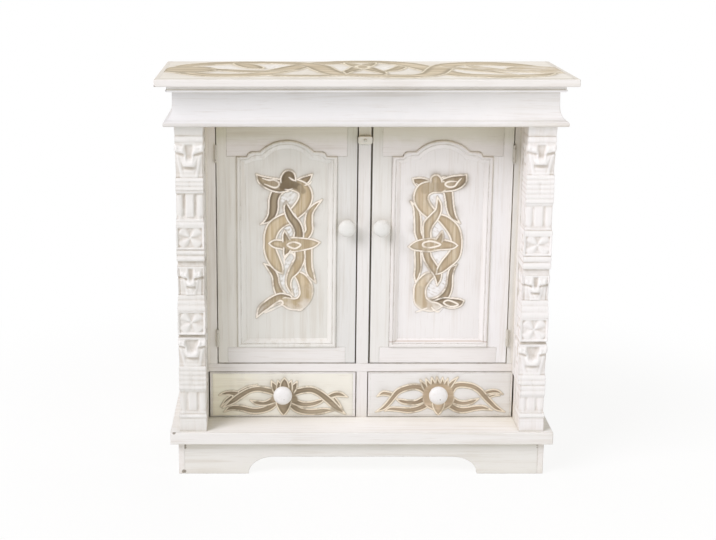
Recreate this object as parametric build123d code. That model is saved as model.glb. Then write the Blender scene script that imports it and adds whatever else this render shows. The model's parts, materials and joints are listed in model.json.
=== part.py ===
from build123d import *
import os

os.makedirs("parts", exist_ok=True)

# All sizes are in millimetres. X runs to the right, the front faces -Y, Z is up.
# The origin lies on the floor, under the middle of the top board.

# Overall sizes
total_height = 900.0
top_width = 900.0
top_depth = 380.0

# Boards of the top, the cornice and the base
top_thickness = 16.0
top_edge_round = 2.5
back_overhang = 4.0          # the top board stands this far behind the carcass
cornice_inset = 36.0         # frieze and plinth faces behind the top board's edge
frieze_height = 87.0
frieze_thickness = 20.0
bed_height = 14.0
bed_projection = 13.0
bed_fillet = 7.0             # height of the flat upper half of the bed moulding
bed_fillet_setback = 2.0
flare_height = 41.0
flare_projection = 20.0
flare_lip = 8.0
flare_edge = 1.5             # thickness that the flare keeps at its upper edge
flare_shoulder = 4.0         # the rounded step above the lip goes this far in
flare_shoulder_rise = 3.5
flare_round_in = 1.2         # the round of that step passes this far in and up
flare_round_rise = 2.6
flare_hollow_share = 0.36    # how far out the middle of the hollow lies
flare_hollow_rise = 14.0     # height of that middle above the lip
carcass_top_thickness = 14.0
base_inset = 19.0            # base board behind the top board's edge
base_thickness = 28.0
base_edge_round = 3.0
base_back_gap = 2.0
skirt_height = 76.0
skirt_thickness = 15.0
skirt_side_thickness = 13.0
skirt_arch_height = 41.0
skirt_foot_width = 154.0     # from the plinth's corner to the cut-out of the front skirt
skirt_side_foot = 70.0
skirt_cove_width = 58.0
glue_block_width = 28.0
glue_block_height = 60.0

# Posts
post_side_inset = 39.0       # outer face of a post behind the end of the top board
post_front_inset = 30.0
post_width = 62.0
post_plain_depth = 32.0      # rear part of the post that keeps its full width
right_post_relief = 6.0      # the right post is cut back beside its drawer
post_kinds = ["cap", "band", "leaf", "reeds", "waist", "ledge", "rosette", "torus", "undercut",
              "leaf", "bands", "rosette", "undercut", "leaf", "reeds", "waist", "ledge", "plinth"]
left_post_heights = [22, 13, 78, 29, 68, 10, 52, 27, 12, 65, 36, 54, 7, 67, 56, 57, 8, 32]
right_post_heights = [23, 13, 71, 63, 60, 9, 47, 31, 14, 57, 41, 53, 7, 72, 49, 41, 10, 32]
post_insets = {"cap": 0.0, "band": 2.0, "leaf": 3.0, "reeds": 5.0, "waist": 9.0, "ledge": 2.0,
               "rosette": 2.0, "torus": 3.0, "undercut": 8.0, "bands": 4.0, "plinth": 2.0}
post_side_share = 0.3        # side faces are cut this share as deep as the front

# Face frame and sides
face_depth = 124.0           # door and drawer faces behind the top board's front edge
stop_gap = 0.5               # between the back of a closed door and its stop
door_reveal = 17.0           # mean width of stile that shows between post and door
bay_offset = 4.5             # the doors and drawers sit this far right of the middle
mullion_width = 29.0
divider_width = 25.0
top_rail_height = 13.0
mid_rail_height = 19.5
drawer_opening_height = 111.0
side_frame_thickness = 20.0
side_stile_width = 55.0
side_top_rail = 60.0
side_bottom_rail = 80.0
side_panel_thickness = 8.0
side_groove = 9.0
back_thickness = 12.0
back_board_count = 4
back_board_gap = 1.0

# Inside
floor_thickness = 17.5
stop_lip = 5.0               # the cupboard floor stands above the mid rail and stops the doors
shelf_thickness = 15.0
shelf_height = 290.0         # underside of the shelf above the mid rail
shelf_front_gap = 24.0
shelf_end_gap = 0.5
cleat_size = 20.0
guide_height = 32.0

# Doors
door_gap = 2.0
door_thickness = 20.0
lock_bevel = 1.2
door_stile = 44.5
stile_notch = 22.5           # the rails lap this much of the stile's width
door_bottom_rail = 37.5
door_shoulder = 66.0         # from the door's top to the shoulder of the arch
arch_rise = 25.5             # from the flat beside the arch to its crown
arch_half_width = 60.0
step_rise = 11.0             # quarter round between shoulder and flat
step_from_edge = 24.0
groove_depth = 8.0
groove_clearance = 0.3
panel_thickness = 6.0
panel_setback = 7.0          # front of the panel's tongue behind the door's face
field_height = 5.0           # raised field above the tongue
moulding_width = 15.0
moulding_bevel = 6.0
moulding_proud = 1.5
moulding_sunk = 1.0          # the inner bevel starts this far behind the door's face
field_gap = 0.5

# Hinges
hinge_height = 40.0
hinge_depth = 17.0
leaf_thickness = 0.8
barrel_radius = 3.0
pin_radius = 1.45
pin_clearance = 0.05
barrel_clearance = 0.3
hinge_inset = 60.0           # middle of a hinge from the end of the door
hinge_screw_radius = 1.4
hinge_screw_head = 2.6
hinge_screw_length = 12.0
hinge_screw_depth = 10.2     # from the face back to the screws
screw_clearance = 0.1

# Knobs
knob_radius = 19.0
knob_projection = 34.0
knob_foot_radius = 10.0
knob_neck_radius = 7.5
knob_neck_length = 9.0
knob_foot_height = 3.0
knob_cap_height = 4.0        # rise of the knob's slightly domed front
knob_cap_share = 0.72        # radius of that front as a share of the knob's
knob_rim_share = 0.45        # how far along the head its widest ring lies
tenon_radius = 5.0
tenon_clearance = 0.05
door_knob_rise = 320.5       # above the bottom of the door
drawer_knob_rise = 4.5       # above the middle of the drawer front
drawer_knob_shift = {"left": 0.0, "right": -6.0}

# Drawers
drawer_side_gap = 3.0
drawer_height_gap = 1.5
drawer_front_thickness = 20.0
drawer_wall = 12.0
drawer_back_gap = 4.0        # between the drawer and the back boards
drawer_headroom = 24.7       # above the drawer sides
drawer_run_gap = 0.3
drawer_bottom_thickness = 6.0
drawer_bottom_rise = 8.0
drawer_groove = 5.0
drawer_lap = 9.0             # depth of the rebate that takes the sides

# Turn button
button_height = 18.0
button_thickness = 8.0
button_drop = 44.0           # middle of the button below the underside of the frieze
button_end_gap = 0.5
button_round = 5.0
button_face_gap = 0.3
button_chamfer = 1.0
button_screw_radius = 2.0
button_screw_head = 3.6
button_head_height = 1.6
button_head_taper = 1.0
button_screw_length = 22.0

# Levels and planes that follow from the sizes above
top_underside = total_height - top_thickness
frieze_bottom = top_underside - frieze_height
base_top = skirt_height + base_thickness
post_height = frieze_bottom - base_top
front_edge = -top_depth / 2
back_edge = top_depth / 2
carcass_back = back_edge - back_overhang
cornice_half = top_width / 2 - cornice_inset
cornice_front = front_edge + cornice_inset
base_half = top_width / 2 - base_inset
base_front = front_edge + base_inset
post_outer = top_width / 2 - post_side_inset
post_inner = post_outer - post_width
post_front = front_edge + post_front_inset
face_plane = front_edge + face_depth
door_back = face_plane + door_thickness
frame_back = door_back + stop_gap
side_inner = post_outer - side_frame_thickness
back_inner = carcass_back - back_thickness
rail_bottom = base_top + drawer_opening_height
rail_top = rail_bottom + mid_rail_height
floor_top = rail_top + stop_lip
opening_top = frieze_bottom - top_rail_height
opening_left = -post_inner + door_reveal + bay_offset
opening_right = post_inner - door_reveal + bay_offset
mullion_left = bay_offset - mullion_width / 2
mullion_right = bay_offset + mullion_width / 2
divider_left = bay_offset - divider_width / 2
divider_right = bay_offset + divider_width / 2
door_bottom = rail_top + door_gap
door_top = opening_top - door_gap
shelf_bottom = rail_top + shelf_height
pin_plane = face_plane - barrel_radius - barrel_clearance


def block(x_range, y_range, z_range):
    """A box between two values on each axis."""
    spans = [sorted(pair) for pair in (x_range, y_range, z_range)]
    sizes = [high - low for low, high in spans]
    middles = [(high + low) / 2 for low, high in spans]
    return Pos(*middles) * Box(*sizes)


def front_plate(outline, y_front, y_back):
    """A plate standing between two Y planes, from an outline drawn as X and Z."""
    return extrude(Plane.XZ.offset(-y_back) * outline, amount=y_back - y_front, dir=(0, -1, 0))


def rod(start, direction, radius, length):
    """A round rod from its start along a direction."""
    return extrude(Plane(origin=start, z_dir=direction) * Circle(radius), amount=length)


def cut_all(piece, cutters):
    """A piece with every cutter taken away."""
    for cutter in cutters:
        piece -= cutter
    return piece


def write(name, pieces):
    """Write the pieces of one node as one file."""
    pieces = pieces if isinstance(pieces, list) else [pieces]
    solids = [solid for piece in pieces for solid in piece.solids()]
    export_step(solids[0] if len(solids) == 1 else Compound(solids), f"parts/{name}.step")


def countersunk_screw(start, direction, head, radius, length):
    """A wood screw whose flat head lies flush at its start."""
    plane = Plane(origin=start, z_dir=direction)
    cone = plane * Pos(0, 0, (head - radius) / 2) * Cone(head, radius, head - radius)
    return cone + rod(start, direction, radius, length)


# Top, cornice and base

def mitred_moulding(profile, projection, z_low):
    """Front and side lengths of a moulding on the cornice, mitred at the front corners."""
    tall = profile.bounding_box().size.Y
    corner = cornice_half + projection
    front_line = cornice_front - projection
    front_bar = extrude(Plane.YZ.offset(-corner) * Pos(cornice_front, z_low) * mirror(profile, Plane.YZ),
                        amount=2 * corner, dir=(1, 0, 0))
    front_plan = Polygon((-cornice_half, cornice_front), (cornice_half, cornice_front),
                         (corner, front_line), (-corner, front_line), align=None)
    lengths = [front_bar & (Pos(0, 0, z_low) * extrude(front_plan, amount=tall, dir=(0, 0, 1)))]
    side_bar = extrude(Plane.XZ.offset(-carcass_back) * Pos(cornice_half, z_low) * profile,
                       amount=carcass_back - front_line, dir=(0, -1, 0))
    side_plan = Polygon((cornice_half, cornice_front), (cornice_half, carcass_back),
                        (corner, carcass_back), (corner, front_line), align=None)
    right = side_bar & (Pos(0, 0, z_low) * extrude(side_plan, amount=tall, dir=(0, 0, 1)))
    return lengths + [right, mirror(right, Plane.YZ)]


def flare_profile():
    """Section of the flared moulding: a hollow above a small lip."""
    lip_top = (flare_projection, flare_lip)
    shoulder = (flare_projection - flare_shoulder, flare_lip + flare_shoulder_rise)
    round_middle = (flare_projection - flare_round_in, flare_lip + flare_round_rise)
    upper = (flare_edge, flare_height)
    hollow_middle = (flare_projection * flare_hollow_share, flare_lip + flare_hollow_rise)
    outline = Polyline((0, flare_height), (0, 0), (flare_projection, 0), lip_top)
    outline += ThreePointArc(lip_top, round_middle, shoulder)
    outline += ThreePointArc(shoulder, hollow_middle, upper)
    outline += Line(upper, (0, flare_height))
    return make_face(outline)


def bed_profile():
    """Section of the bed moulding: a flat fillet above a half round."""
    bead = bed_height - bed_fillet
    fillet_out = bed_projection - bed_fillet_setback
    bead_start = bed_projection - bead / 2
    outline = Polyline((0, bead), (0, bed_height), (fillet_out, bed_height), (fillet_out, bead))
    outline += Line((fillet_out, bead), (bead_start, bead))
    outline += ThreePointArc((bead_start, bead), (bed_projection, bead / 2), (bead_start, 0))
    outline += Polyline((bead_start, 0), (0, 0), (0, bead))
    return make_face(outline)


def cove_cutout(left, right):
    """Outline of a plinth's cut-out: flat above, with a quarter ellipse at each end."""
    flat = skirt_arch_height
    middle = (left + right) / 2
    straight = Polyline((left + skirt_cove_width, flat), (right - skirt_cove_width, flat))
    left_cove = EllipticalCenterArc((left + skirt_cove_width, 0), skirt_cove_width, flat,
                                    start_angle=90, arc_size=90)
    right_cove = EllipticalCenterArc((right - skirt_cove_width, 0), skirt_cove_width, flat,
                                     start_angle=0, arc_size=90)
    below = Polyline((left, 0), (left, -1), (middle, -1), (right, -1), (right, 0))
    return make_face(straight + left_cove + right_cove + below)


def make_top():
    top = block((-top_width / 2, top_width / 2), (front_edge, back_edge), (top_underside, total_height))
    write("top_board", fillet(top.edges(), top_edge_round))
    write("bed_moulding", mitred_moulding(bed_profile(), bed_projection, top_underside - bed_height))
    write("flare_moulding", mitred_moulding(flare_profile(), flare_projection, frieze_bottom))
    frieze_back = cornice_front + frieze_thickness
    inner = cornice_half - frieze_thickness
    levels = (frieze_bottom, top_underside)
    write("frieze_front", block((-cornice_half, cornice_half), (cornice_front, frieze_back), levels))
    right = block((inner, cornice_half), (frieze_back, carcass_back), levels)
    write("frieze_sides", [mirror(right, Plane.YZ), right])
    write("carcass_top", block((-inner, inner), (frieze_back, back_inner),
                               (frieze_bottom, frieze_bottom + carcass_top_thickness)))


def make_base():
    base_back = back_edge - base_back_gap
    board = block((-base_half, base_half), (base_front, base_back), (skirt_height, base_top))
    front_edges = board.edges().filter_by(Axis.X).group_by(Axis.Y)[0]
    write("base_board", fillet(front_edges, base_edge_round))
    side_inside = cornice_half - skirt_side_thickness
    foot = cornice_half - skirt_foot_width
    levels = (0, skirt_height)
    front_back = cornice_front + skirt_thickness
    back_front = carcass_back - skirt_thickness
    front = block((-side_inside, side_inside), (cornice_front, front_back), levels)
    arch = cove_cutout(-foot + bay_offset, foot + bay_offset)
    write("skirt_front", front - front_plate(arch, cornice_front - 1, front_back + 1))
    write("skirt_back", block((-side_inside, side_inside), (back_front, carcass_back), levels))
    side = block((side_inside, cornice_half), (cornice_front, carcass_back), levels)
    side_arch = cove_cutout(cornice_front + skirt_side_foot, carcass_back - skirt_side_foot)
    side -= extrude(Plane.YZ.offset(side_inside - 1) * side_arch, amount=skirt_side_thickness + 2,
                    dir=(1, 0, 0))
    write("skirt_sides", [mirror(side, Plane.YZ), side])
    blocks = []
    for sign in (-1, 1):
        corner_x = sign * side_inside
        for corner_y, step in ((front_back, 1), (back_front, -1)):
            blocks.append(block((corner_x, corner_x - sign * glue_block_width),
                                (corner_y, corner_y + step * glue_block_width),
                                (skirt_height - glue_block_height, skirt_height)))
    write("glue_blocks", blocks)


# Posts, sides and back

def make_post(side, heights):
    """A square post: its front part steps in and out, its rear part stays plain."""
    sign = -1 if side == "left" else 1
    middle = sign * (post_outer + post_inner) / 2
    across = (sign * post_inner, sign * post_outer)
    plain_front = face_plane - post_plain_depth
    post = block(across, (plain_front, face_plane), (base_top, frieze_bottom))
    scale = post_height / sum(heights)
    upper = frieze_bottom
    for kind, height in zip(post_kinds, heights):
        lower = upper - height * scale
        inset = post_insets[kind]
        half = post_width / 2 - inset * post_side_share
        post += block((middle - half, middle + half), (post_front + inset, plain_front), (lower, upper))
        upper = lower
    if side == "right":
        relief = (post_inner - 1, post_inner + right_post_relief)
        post -= block(relief, (post_front - 1, face_plane + 1), (base_top - 1, rail_bottom))
    write(f"{side}_post", post)


def make_side(side):
    """A framed side: two stiles, two rails and a panel held in their grooves."""
    sign = -1 if side == "left" else 1
    across = (sign * side_inner, sign * post_outer)
    middle = sign * (side_inner + post_outer) / 2
    half_panel = side_panel_thickness / 2
    front_stile_back = face_plane + side_stile_width
    rear_stile_front = carcass_back - side_stile_width
    rail_low = base_top + side_bottom_rail
    rail_high = frieze_bottom - side_top_rail
    frame = [block(across, (face_plane, front_stile_back), (base_top, frieze_bottom)),
             block(across, (rear_stile_front, carcass_back), (base_top, frieze_bottom)),
             block(across, (front_stile_back, rear_stile_front), (base_top, rail_low)),
             block(across, (front_stile_back, rear_stile_front), (rail_high, frieze_bottom))]
    panel_across = (middle - half_panel, middle + half_panel)
    groove = block(panel_across, (front_stile_back - side_groove, rear_stile_front + side_groove),
                   (rail_low - side_groove, rail_high + side_groove))
    write(f"{side}_side_frame", [member - groove for member in frame])
    tongue = side_groove - groove_clearance
    panel_depth = (front_stile_back - tongue, rear_stile_front + tongue)
    panel_levels = (rail_low - side_groove, rail_high + tongue)
    write(f"{side}_side_panel", block(panel_across, panel_depth, panel_levels))


def make_back():
    width = (2 * side_inner - (back_board_count - 1) * back_board_gap) / back_board_count
    boards = []
    for index in range(back_board_count):
        left = -side_inner + index * (width + back_board_gap)
        boards.append(block((left, left + width), (back_inner, carcass_back),
                            (base_top, top_underside)))
    write("back_boards", boards)


# Face frame and inside

def hinge_levels():
    """Middle heights of a door's two hinges."""
    return [door_bottom + hinge_inset, door_top - hinge_inset]


def pin_place(side):
    """X of the hinge line, halfway across the gap beside the door."""
    return opening_left + door_gap / 2 if side == "left" else opening_right - door_gap / 2


def leaf_seat(side, wood):
    """X of the edge that a leaf lies in, and the direction into that wood."""
    into = (1 if side == "left" else -1) * (1 if wood == "door" else -1)
    return pin_place(side) + into * door_gap / 2, into


def leaf_recesses(side, wood):
    """The shallow recesses that take one side's hinge leaves."""
    edge, into = leaf_seat(side, wood)
    across = (edge - into, edge + into * leaf_thickness)
    depth = (face_plane - 1, face_plane + hinge_depth)
    half = hinge_height / 2
    return [block(across, depth, (level - half, level + half)) for level in hinge_levels()]


def hinge_screws(side, wood, clearance=0.0):
    """Screws of one side's hinge leaves, two in each, or with a clearance their holes."""
    edge, into = leaf_seat(side, wood)
    screws = []
    for level in hinge_levels():
        for shift in (-hinge_height / 4, hinge_height / 4):
            start = (edge, face_plane + hinge_screw_depth, level + shift)
            screws.append(countersunk_screw(start, (into, 0, 0), hinge_screw_head + clearance,
                                            hinge_screw_radius + clearance,
                                            hinge_screw_length + clearance))
    return screws


def hinge_leaves(side, wood):
    """One leaf of each hinge with its knuckles: two outer ones on the frame, one on the door."""
    edge, into = leaf_seat(side, wood)
    across = (edge, edge + into * leaf_thickness)
    pin_x = pin_place(side)
    third = hinge_height / 3
    trim = barrel_clearance / 2
    leaves = []
    for level in hinge_levels():
        low = level - hinge_height / 2
        high = level + hinge_height / 2
        spans = [(low + third + trim, high - third - trim)]
        if wood == "frame":
            spans = [(low, low + third - trim), (high - third + trim, high)]
        leaf = block(across, (face_plane, face_plane + hinge_depth), (low, high))
        for bottom, top in spans:
            leaf += block(across, (pin_plane, face_plane), (bottom, top))
            leaf += rod((pin_x, pin_plane, bottom), (0, 0, 1), barrel_radius, top - bottom)
        bore = pin_radius + pin_clearance
        leaf -= rod((pin_x, pin_plane, low - 1), (0, 0, 1), bore, hinge_height + 2)
        leaves.append(cut_all(leaf, hinge_screws(side, wood, screw_clearance)))
    return leaves


def make_hinge_fixed_half():
    leaves = []
    screws = []
    pins = []
    for side in ("left", "right"):
        leaves += hinge_leaves(side, "frame")
        screws += hinge_screws(side, "frame")
        for level in hinge_levels():
            foot = (pin_place(side), pin_plane, level - hinge_height / 2)
            pins.append(rod(foot, (0, 0, 1), pin_radius, hinge_height))
    write("frame_hinge_leaves", leaves)
    write("frame_hinge_screws", screws)
    write("hinge_pins", pins)


def make_face_frame():
    depth = (face_plane, frame_back)
    stiles = []
    for side, across in (("left", (-side_inner, opening_left)), ("right", (opening_right, side_inner))):
        stile = block(across, depth, (rail_top, opening_top))
        holes = hinge_screws(side, "frame", screw_clearance)
        stiles.append(cut_all(stile, leaf_recesses(side, "frame") + holes))
    write("face_stiles", stiles)
    mullion = block((mullion_left, mullion_right), depth, (rail_top, opening_top))
    write("mullion", mullion - button_screw(button_screw_radius + screw_clearance, 0.0))
    write("top_rail", block((-side_inner, side_inner), depth, (opening_top, frieze_bottom)))
    write("mid_rail", block((-side_inner, side_inner), depth, (rail_bottom, rail_top)))
    write("drawer_divider", block((divider_left, divider_right), depth, (base_top, rail_bottom)))


def make_inside():
    write("cupboard_floor", block((-side_inner, side_inner), (frame_back, back_inner),
                                  (floor_top - floor_thickness, floor_top)))
    shelf_depth = (frame_back + shelf_front_gap, back_inner)
    shelf_half = side_inner - shelf_end_gap
    write("shelf", block((-shelf_half, shelf_half), shelf_depth,
                         (shelf_bottom, shelf_bottom + shelf_thickness)))
    cleat = block((side_inner - cleat_size, side_inner), shelf_depth,
                  (shelf_bottom - cleat_size, shelf_bottom))
    write("shelf_cleats", [mirror(cleat, Plane.YZ), cleat])
    guide_levels = (base_top, base_top + guide_height)
    left = block((-side_inner, -post_inner), (face_plane, back_inner), guide_levels)
    right = block((post_inner + right_post_relief, side_inner), (face_plane, back_inner),
                  guide_levels)
    centre = block((divider_left, divider_right), (frame_back, back_inner), guide_levels)
    write("drawer_guides", [left, centre, right])


# Turn button on the mullion

def button_screw(radius, head_lift):
    """The screw's shank, or the hole for it, from the button's face back into the mullion."""
    front = face_plane - button_face_gap - button_thickness - head_lift
    start = (bay_offset, front, frieze_bottom - button_drop)
    return rod(start, (0, 1, 0), radius, button_screw_length)


def make_turn_button():
    length = mullion_width + 2 * door_gap - 2 * button_end_gap
    level = frieze_bottom - button_drop
    back = face_plane - button_face_gap
    front = back - button_thickness
    outline = Pos(bay_offset, level) * RectangleRounded(length, button_height, button_round)
    button = front_plate(outline, front, back)
    button -= button_screw(button_screw_radius + screw_clearance, 1.0)
    front_rim = button.faces().sort_by(Axis.Y)[0].outer_wire().edges()
    write("turn_button", chamfer(front_rim, button_chamfer))
    head = Cone(button_screw_head, button_screw_head - button_head_taper, button_head_height,
                align=(Align.CENTER, Align.CENTER, Align.MIN))
    head = Pos(bay_offset, front - button_face_gap, level) * Rot(90, 0, 0) * head
    write("turn_button_screw", head + button_screw(button_screw_radius, button_face_gap))


# Doors

def arched_outline(left, right):
    """Outline of a door's panel opening: square below, a stepped arch above."""
    middle = (left + right) / 2
    half = (right - left) / 2
    bottom = door_bottom + door_bottom_rail
    shoulder = door_top - door_shoulder
    flat = shoulder + step_rise
    step_start = half - step_from_edge
    step_end = step_start - step_rise
    bulge = step_rise * (1 - 0.5 ** 0.5)
    arch = min(arch_half_width, step_end - 1.0)
    edges = Polyline((middle - step_start, shoulder), (left, shoulder), (left, bottom), (right, bottom),
                     (right, shoulder), (middle + step_start, shoulder))
    for sign in (-1, 1):
        edges += ThreePointArc((middle + sign * step_start, shoulder),
                               (middle + sign * (step_start - bulge), flat - bulge),
                               (middle + sign * step_end, flat))
        edges += Line((middle + sign * step_end, flat), (middle + sign * arch, flat))
    edges += ThreePointArc((middle - arch, flat), (middle, flat + arch_rise), (middle + arch, flat))
    return make_face(edges)


def turned_knob(place, tenon_length):
    """A turned knob on a face that looks towards -Y, with a tenon that goes back into the wood."""
    head_length = knob_projection - knob_neck_length
    fit_radius = tenon_radius - tenon_clearance
    neck = (knob_neck_radius, knob_neck_length)
    rim = (knob_radius, knob_neck_length + head_length * knob_rim_share)
    cap = (knob_radius * knob_cap_share, knob_projection - knob_cap_height)
    back_middle = (knob_radius * 0.83, knob_neck_length + head_length * 0.14)
    front_middle = (knob_radius * 0.93, rim[1] + (cap[1] - rim[1]) * 0.6)
    cap_sphere = (cap[0] ** 2 + knob_cap_height ** 2) / (2 * knob_cap_height)
    cap_middle = knob_projection - cap_sphere + (cap_sphere ** 2 - cap[0] ** 2 / 4) ** 0.5
    outline = Polyline((0, knob_projection), (0, -tenon_length), (fit_radius, -tenon_length),
                       (fit_radius, 0), (knob_foot_radius, 0), (knob_foot_radius, knob_foot_height),
                       (knob_neck_radius, knob_foot_height + 2), neck)
    outline += ThreePointArc(neck, back_middle, rim)
    outline += ThreePointArc(rim, front_middle, cap)
    outline += ThreePointArc(cap, (cap[0] / 2, cap_middle), (0, knob_projection))
    solid = revolve(make_face(outline), Axis.Y)
    return Pos(*place) * Rot(180, 0, 0) * solid


def make_door(side):
    inward = 1 if side == "left" else -1
    hinge_edge = pin_place(side) + inward * door_gap / 2
    lock_edge = (mullion_left if side == "left" else mullion_right) - inward * door_gap
    left, right = sorted((hinge_edge, lock_edge))
    depth = (face_plane, door_back)
    through = (face_plane - 1, door_back + 1)
    rail_low = door_bottom + door_bottom_rail
    rail_high = door_top - door_shoulder
    opening = arched_outline(left + door_stile, right - door_stile)
    groove = front_plate(offset(opening, groove_depth, kind=Kind.INTERSECTION),
                         face_plane + panel_setback, face_plane + panel_setback + panel_thickness)
    rail_ends = (left + stile_notch, right - stile_notch)
    bottom_rail = block(rail_ends, depth, (door_bottom, rail_low))
    top_rail = block(rail_ends, depth, (rail_high, door_top))
    top_rail -= front_plate(opening, *through)
    write(f"{side}_door_bottom_rail", bottom_rail - groove)
    write(f"{side}_door_top_rail", top_rail - groove)
    stiles = {}
    for name, edge, into in (("hinge", hinge_edge, inward), ("lock", lock_edge, -inward)):
        stile = block((edge, edge + into * door_stile), depth, (door_bottom, door_top))
        notch = (edge + into * stile_notch, edge + into * (door_stile + 1))
        stile -= block(notch, through, (rail_high, door_top + 1))
        stile -= block(notch, through, (door_bottom - 1, rail_low))
        stiles[name] = stile - groove
    holes = hinge_screws(side, "door", screw_clearance)
    stiles["hinge"] = cut_all(stiles["hinge"], leaf_recesses(side, "door") + holes)
    knob_x = lock_edge - inward * door_stile / 2
    knob_z = door_bottom + door_knob_rise
    stiles["lock"] -= rod((knob_x, face_plane - 1, knob_z), (0, 1, 0), tenon_radius, door_thickness + 2)
    bevelled_edge = lock_edge - inward * lock_bevel
    bevel = Polygon((lock_edge + inward, door_back + 1), (bevelled_edge, door_back + 1),
                    (bevelled_edge, door_back), (lock_edge, face_plane),
                    (lock_edge + inward, face_plane), align=None)
    bevel_bar = extrude(bevel, amount=door_top - door_bottom + 2, dir=(0, 0, 1))
    stiles["lock"] -= Pos(0, 0, door_bottom - 1) * bevel_bar
    for name, stile in stiles.items():
        write(f"{side}_door_{name}_stile", stile)
    tongue_front = face_plane + panel_setback
    tongue = front_plate(offset(opening, groove_depth - groove_clearance, kind=Kind.INTERSECTION),
                         tongue_front, tongue_front + panel_thickness)
    field = front_plate(offset(opening, -moulding_width - field_gap, kind=Kind.ARC),
                        tongue_front - field_height, tongue_front)
    write(f"{side}_door_panel", tongue + field)
    band = opening - offset(opening, moulding_bevel - moulding_width, kind=Kind.ARC)
    bevelled = opening - offset(opening, -moulding_width, kind=Kind.ARC)
    moulding = front_plate(bevelled, face_plane + moulding_sunk, tongue_front)
    moulding += front_plate(band, face_plane - moulding_proud, tongue_front)
    write(f"{side}_door_moulding", moulding)
    write(f"{side}_door_knob", turned_knob((knob_x, face_plane, knob_z), door_thickness))
    write(f"{side}_door_hinge_leaves", hinge_leaves(side, "door"))
    write(f"{side}_door_hinge_screws", hinge_screws(side, "door"))


# Drawers

def make_drawer(side):
    if side == "left":
        left = -post_inner + drawer_side_gap
        right = divider_left - door_gap
    else:
        left = divider_right + door_gap
        right = post_inner + right_post_relief - drawer_side_gap
    low = base_top + drawer_height_gap
    high = rail_bottom - drawer_height_gap
    front_back = face_plane + drawer_front_thickness
    box_back = back_inner - drawer_back_gap
    run = base_top + drawer_run_gap
    side_top = rail_bottom - drawer_headroom
    wall_start = front_back - drawer_lap
    front = block((left, right), (face_plane, front_back), (low, high))
    for edge, into in ((left, 1), (right, -1)):
        rebate = (edge - into, edge + into * drawer_wall)
        front -= block(rebate, (wall_start, front_back + 1), (low - 1, side_top))
    bottom_low = run + drawer_bottom_rise
    bottom_levels = (bottom_low, bottom_low + drawer_bottom_thickness)
    inner = (left + drawer_wall, right - drawer_wall)
    groove = block((inner[0] - drawer_groove, inner[1] + drawer_groove),
                   (front_back - drawer_groove, box_back + 1), bottom_levels)
    knob_x = (left + right) / 2 + drawer_knob_shift[side]
    knob_z = (low + high) / 2 + drawer_knob_rise
    front -= rod((knob_x, face_plane - 1, knob_z), (0, 1, 0), tenon_radius, drawer_front_thickness + 2)
    write(f"{side}_drawer_front", front - groove)
    walls = [block((edge, edge + into * drawer_wall), (wall_start, box_back), (run, side_top)) - groove
             for edge, into in ((left, 1), (right, -1))]
    write(f"{side}_drawer_sides", walls)
    back_levels = (bottom_levels[1], side_top)
    write(f"{side}_drawer_back", block(inner, (box_back - drawer_wall, box_back), back_levels))
    tongue = drawer_groove - groove_clearance
    write(f"{side}_drawer_bottom", block((inner[0] - tongue, inner[1] + tongue),
                                         (front_back - tongue, box_back), bottom_levels))
    write(f"{side}_drawer_knob", turned_knob((knob_x, face_plane, knob_z), drawer_front_thickness))


make_top()
make_base()
make_post("left", left_post_heights)
make_post("right", right_post_heights)
make_back()
make_face_frame()
make_inside()
make_turn_button()
make_hinge_fixed_half()
for hand in ("left", "right"):
    make_side(hand)
    make_door(hand)
    make_drawer(hand)
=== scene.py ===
import json
import math

import bmesh
import bpy
import numpy as np
from mathutils import Matrix, Vector

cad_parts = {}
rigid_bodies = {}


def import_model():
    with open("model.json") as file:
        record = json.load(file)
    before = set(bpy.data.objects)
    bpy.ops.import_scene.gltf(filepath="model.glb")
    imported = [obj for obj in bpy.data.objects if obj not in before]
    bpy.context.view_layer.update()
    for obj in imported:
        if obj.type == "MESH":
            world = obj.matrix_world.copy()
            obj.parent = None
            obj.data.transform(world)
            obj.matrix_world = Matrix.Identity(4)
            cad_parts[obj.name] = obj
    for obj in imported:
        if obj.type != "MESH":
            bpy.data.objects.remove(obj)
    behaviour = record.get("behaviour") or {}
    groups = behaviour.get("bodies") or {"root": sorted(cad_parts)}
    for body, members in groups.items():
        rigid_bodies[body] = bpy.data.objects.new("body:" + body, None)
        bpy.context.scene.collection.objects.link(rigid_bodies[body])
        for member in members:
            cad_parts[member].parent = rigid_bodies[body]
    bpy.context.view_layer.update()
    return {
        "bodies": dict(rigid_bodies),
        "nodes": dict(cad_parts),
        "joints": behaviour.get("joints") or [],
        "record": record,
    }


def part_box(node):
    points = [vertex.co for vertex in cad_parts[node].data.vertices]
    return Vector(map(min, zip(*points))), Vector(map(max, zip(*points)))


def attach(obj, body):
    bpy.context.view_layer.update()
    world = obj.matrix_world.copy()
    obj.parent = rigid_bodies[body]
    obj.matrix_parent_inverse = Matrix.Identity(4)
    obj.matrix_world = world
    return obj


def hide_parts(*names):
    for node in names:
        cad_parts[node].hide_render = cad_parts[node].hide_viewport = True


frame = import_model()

mm = 0.001
nodes = frame["nodes"]
slotOfNode = {row["node"]: row["material_slot"] for row in frame["record"]["subparts"]}


# small helpers for node trees and meshes

def addNode(tree, kind, feeds=None, **settings):
    # settings go first, since some of them decide which inputs a node has
    item = tree.nodes.new(kind)
    for key, value in settings.items():
        setattr(item, key, value)
    for key, value in (feeds or {}).items():
        if isinstance(value, bpy.types.NodeSocket):
            tree.links.new(value, item.inputs[key])
        else:
            item.inputs[key].default_value = value
    return item


def maths(tree, operation, first, second=0.0, clamp=False):
    feeds = {0: first, 1: second}
    return addNode(tree, "ShaderNodeMath", feeds, operation=operation, use_clamp=clamp).outputs[0]


def plus(tree, first, second):
    return maths(tree, "ADD", first, second)


def minus(tree, first, second):
    return maths(tree, "SUBTRACT", first, second)


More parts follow.
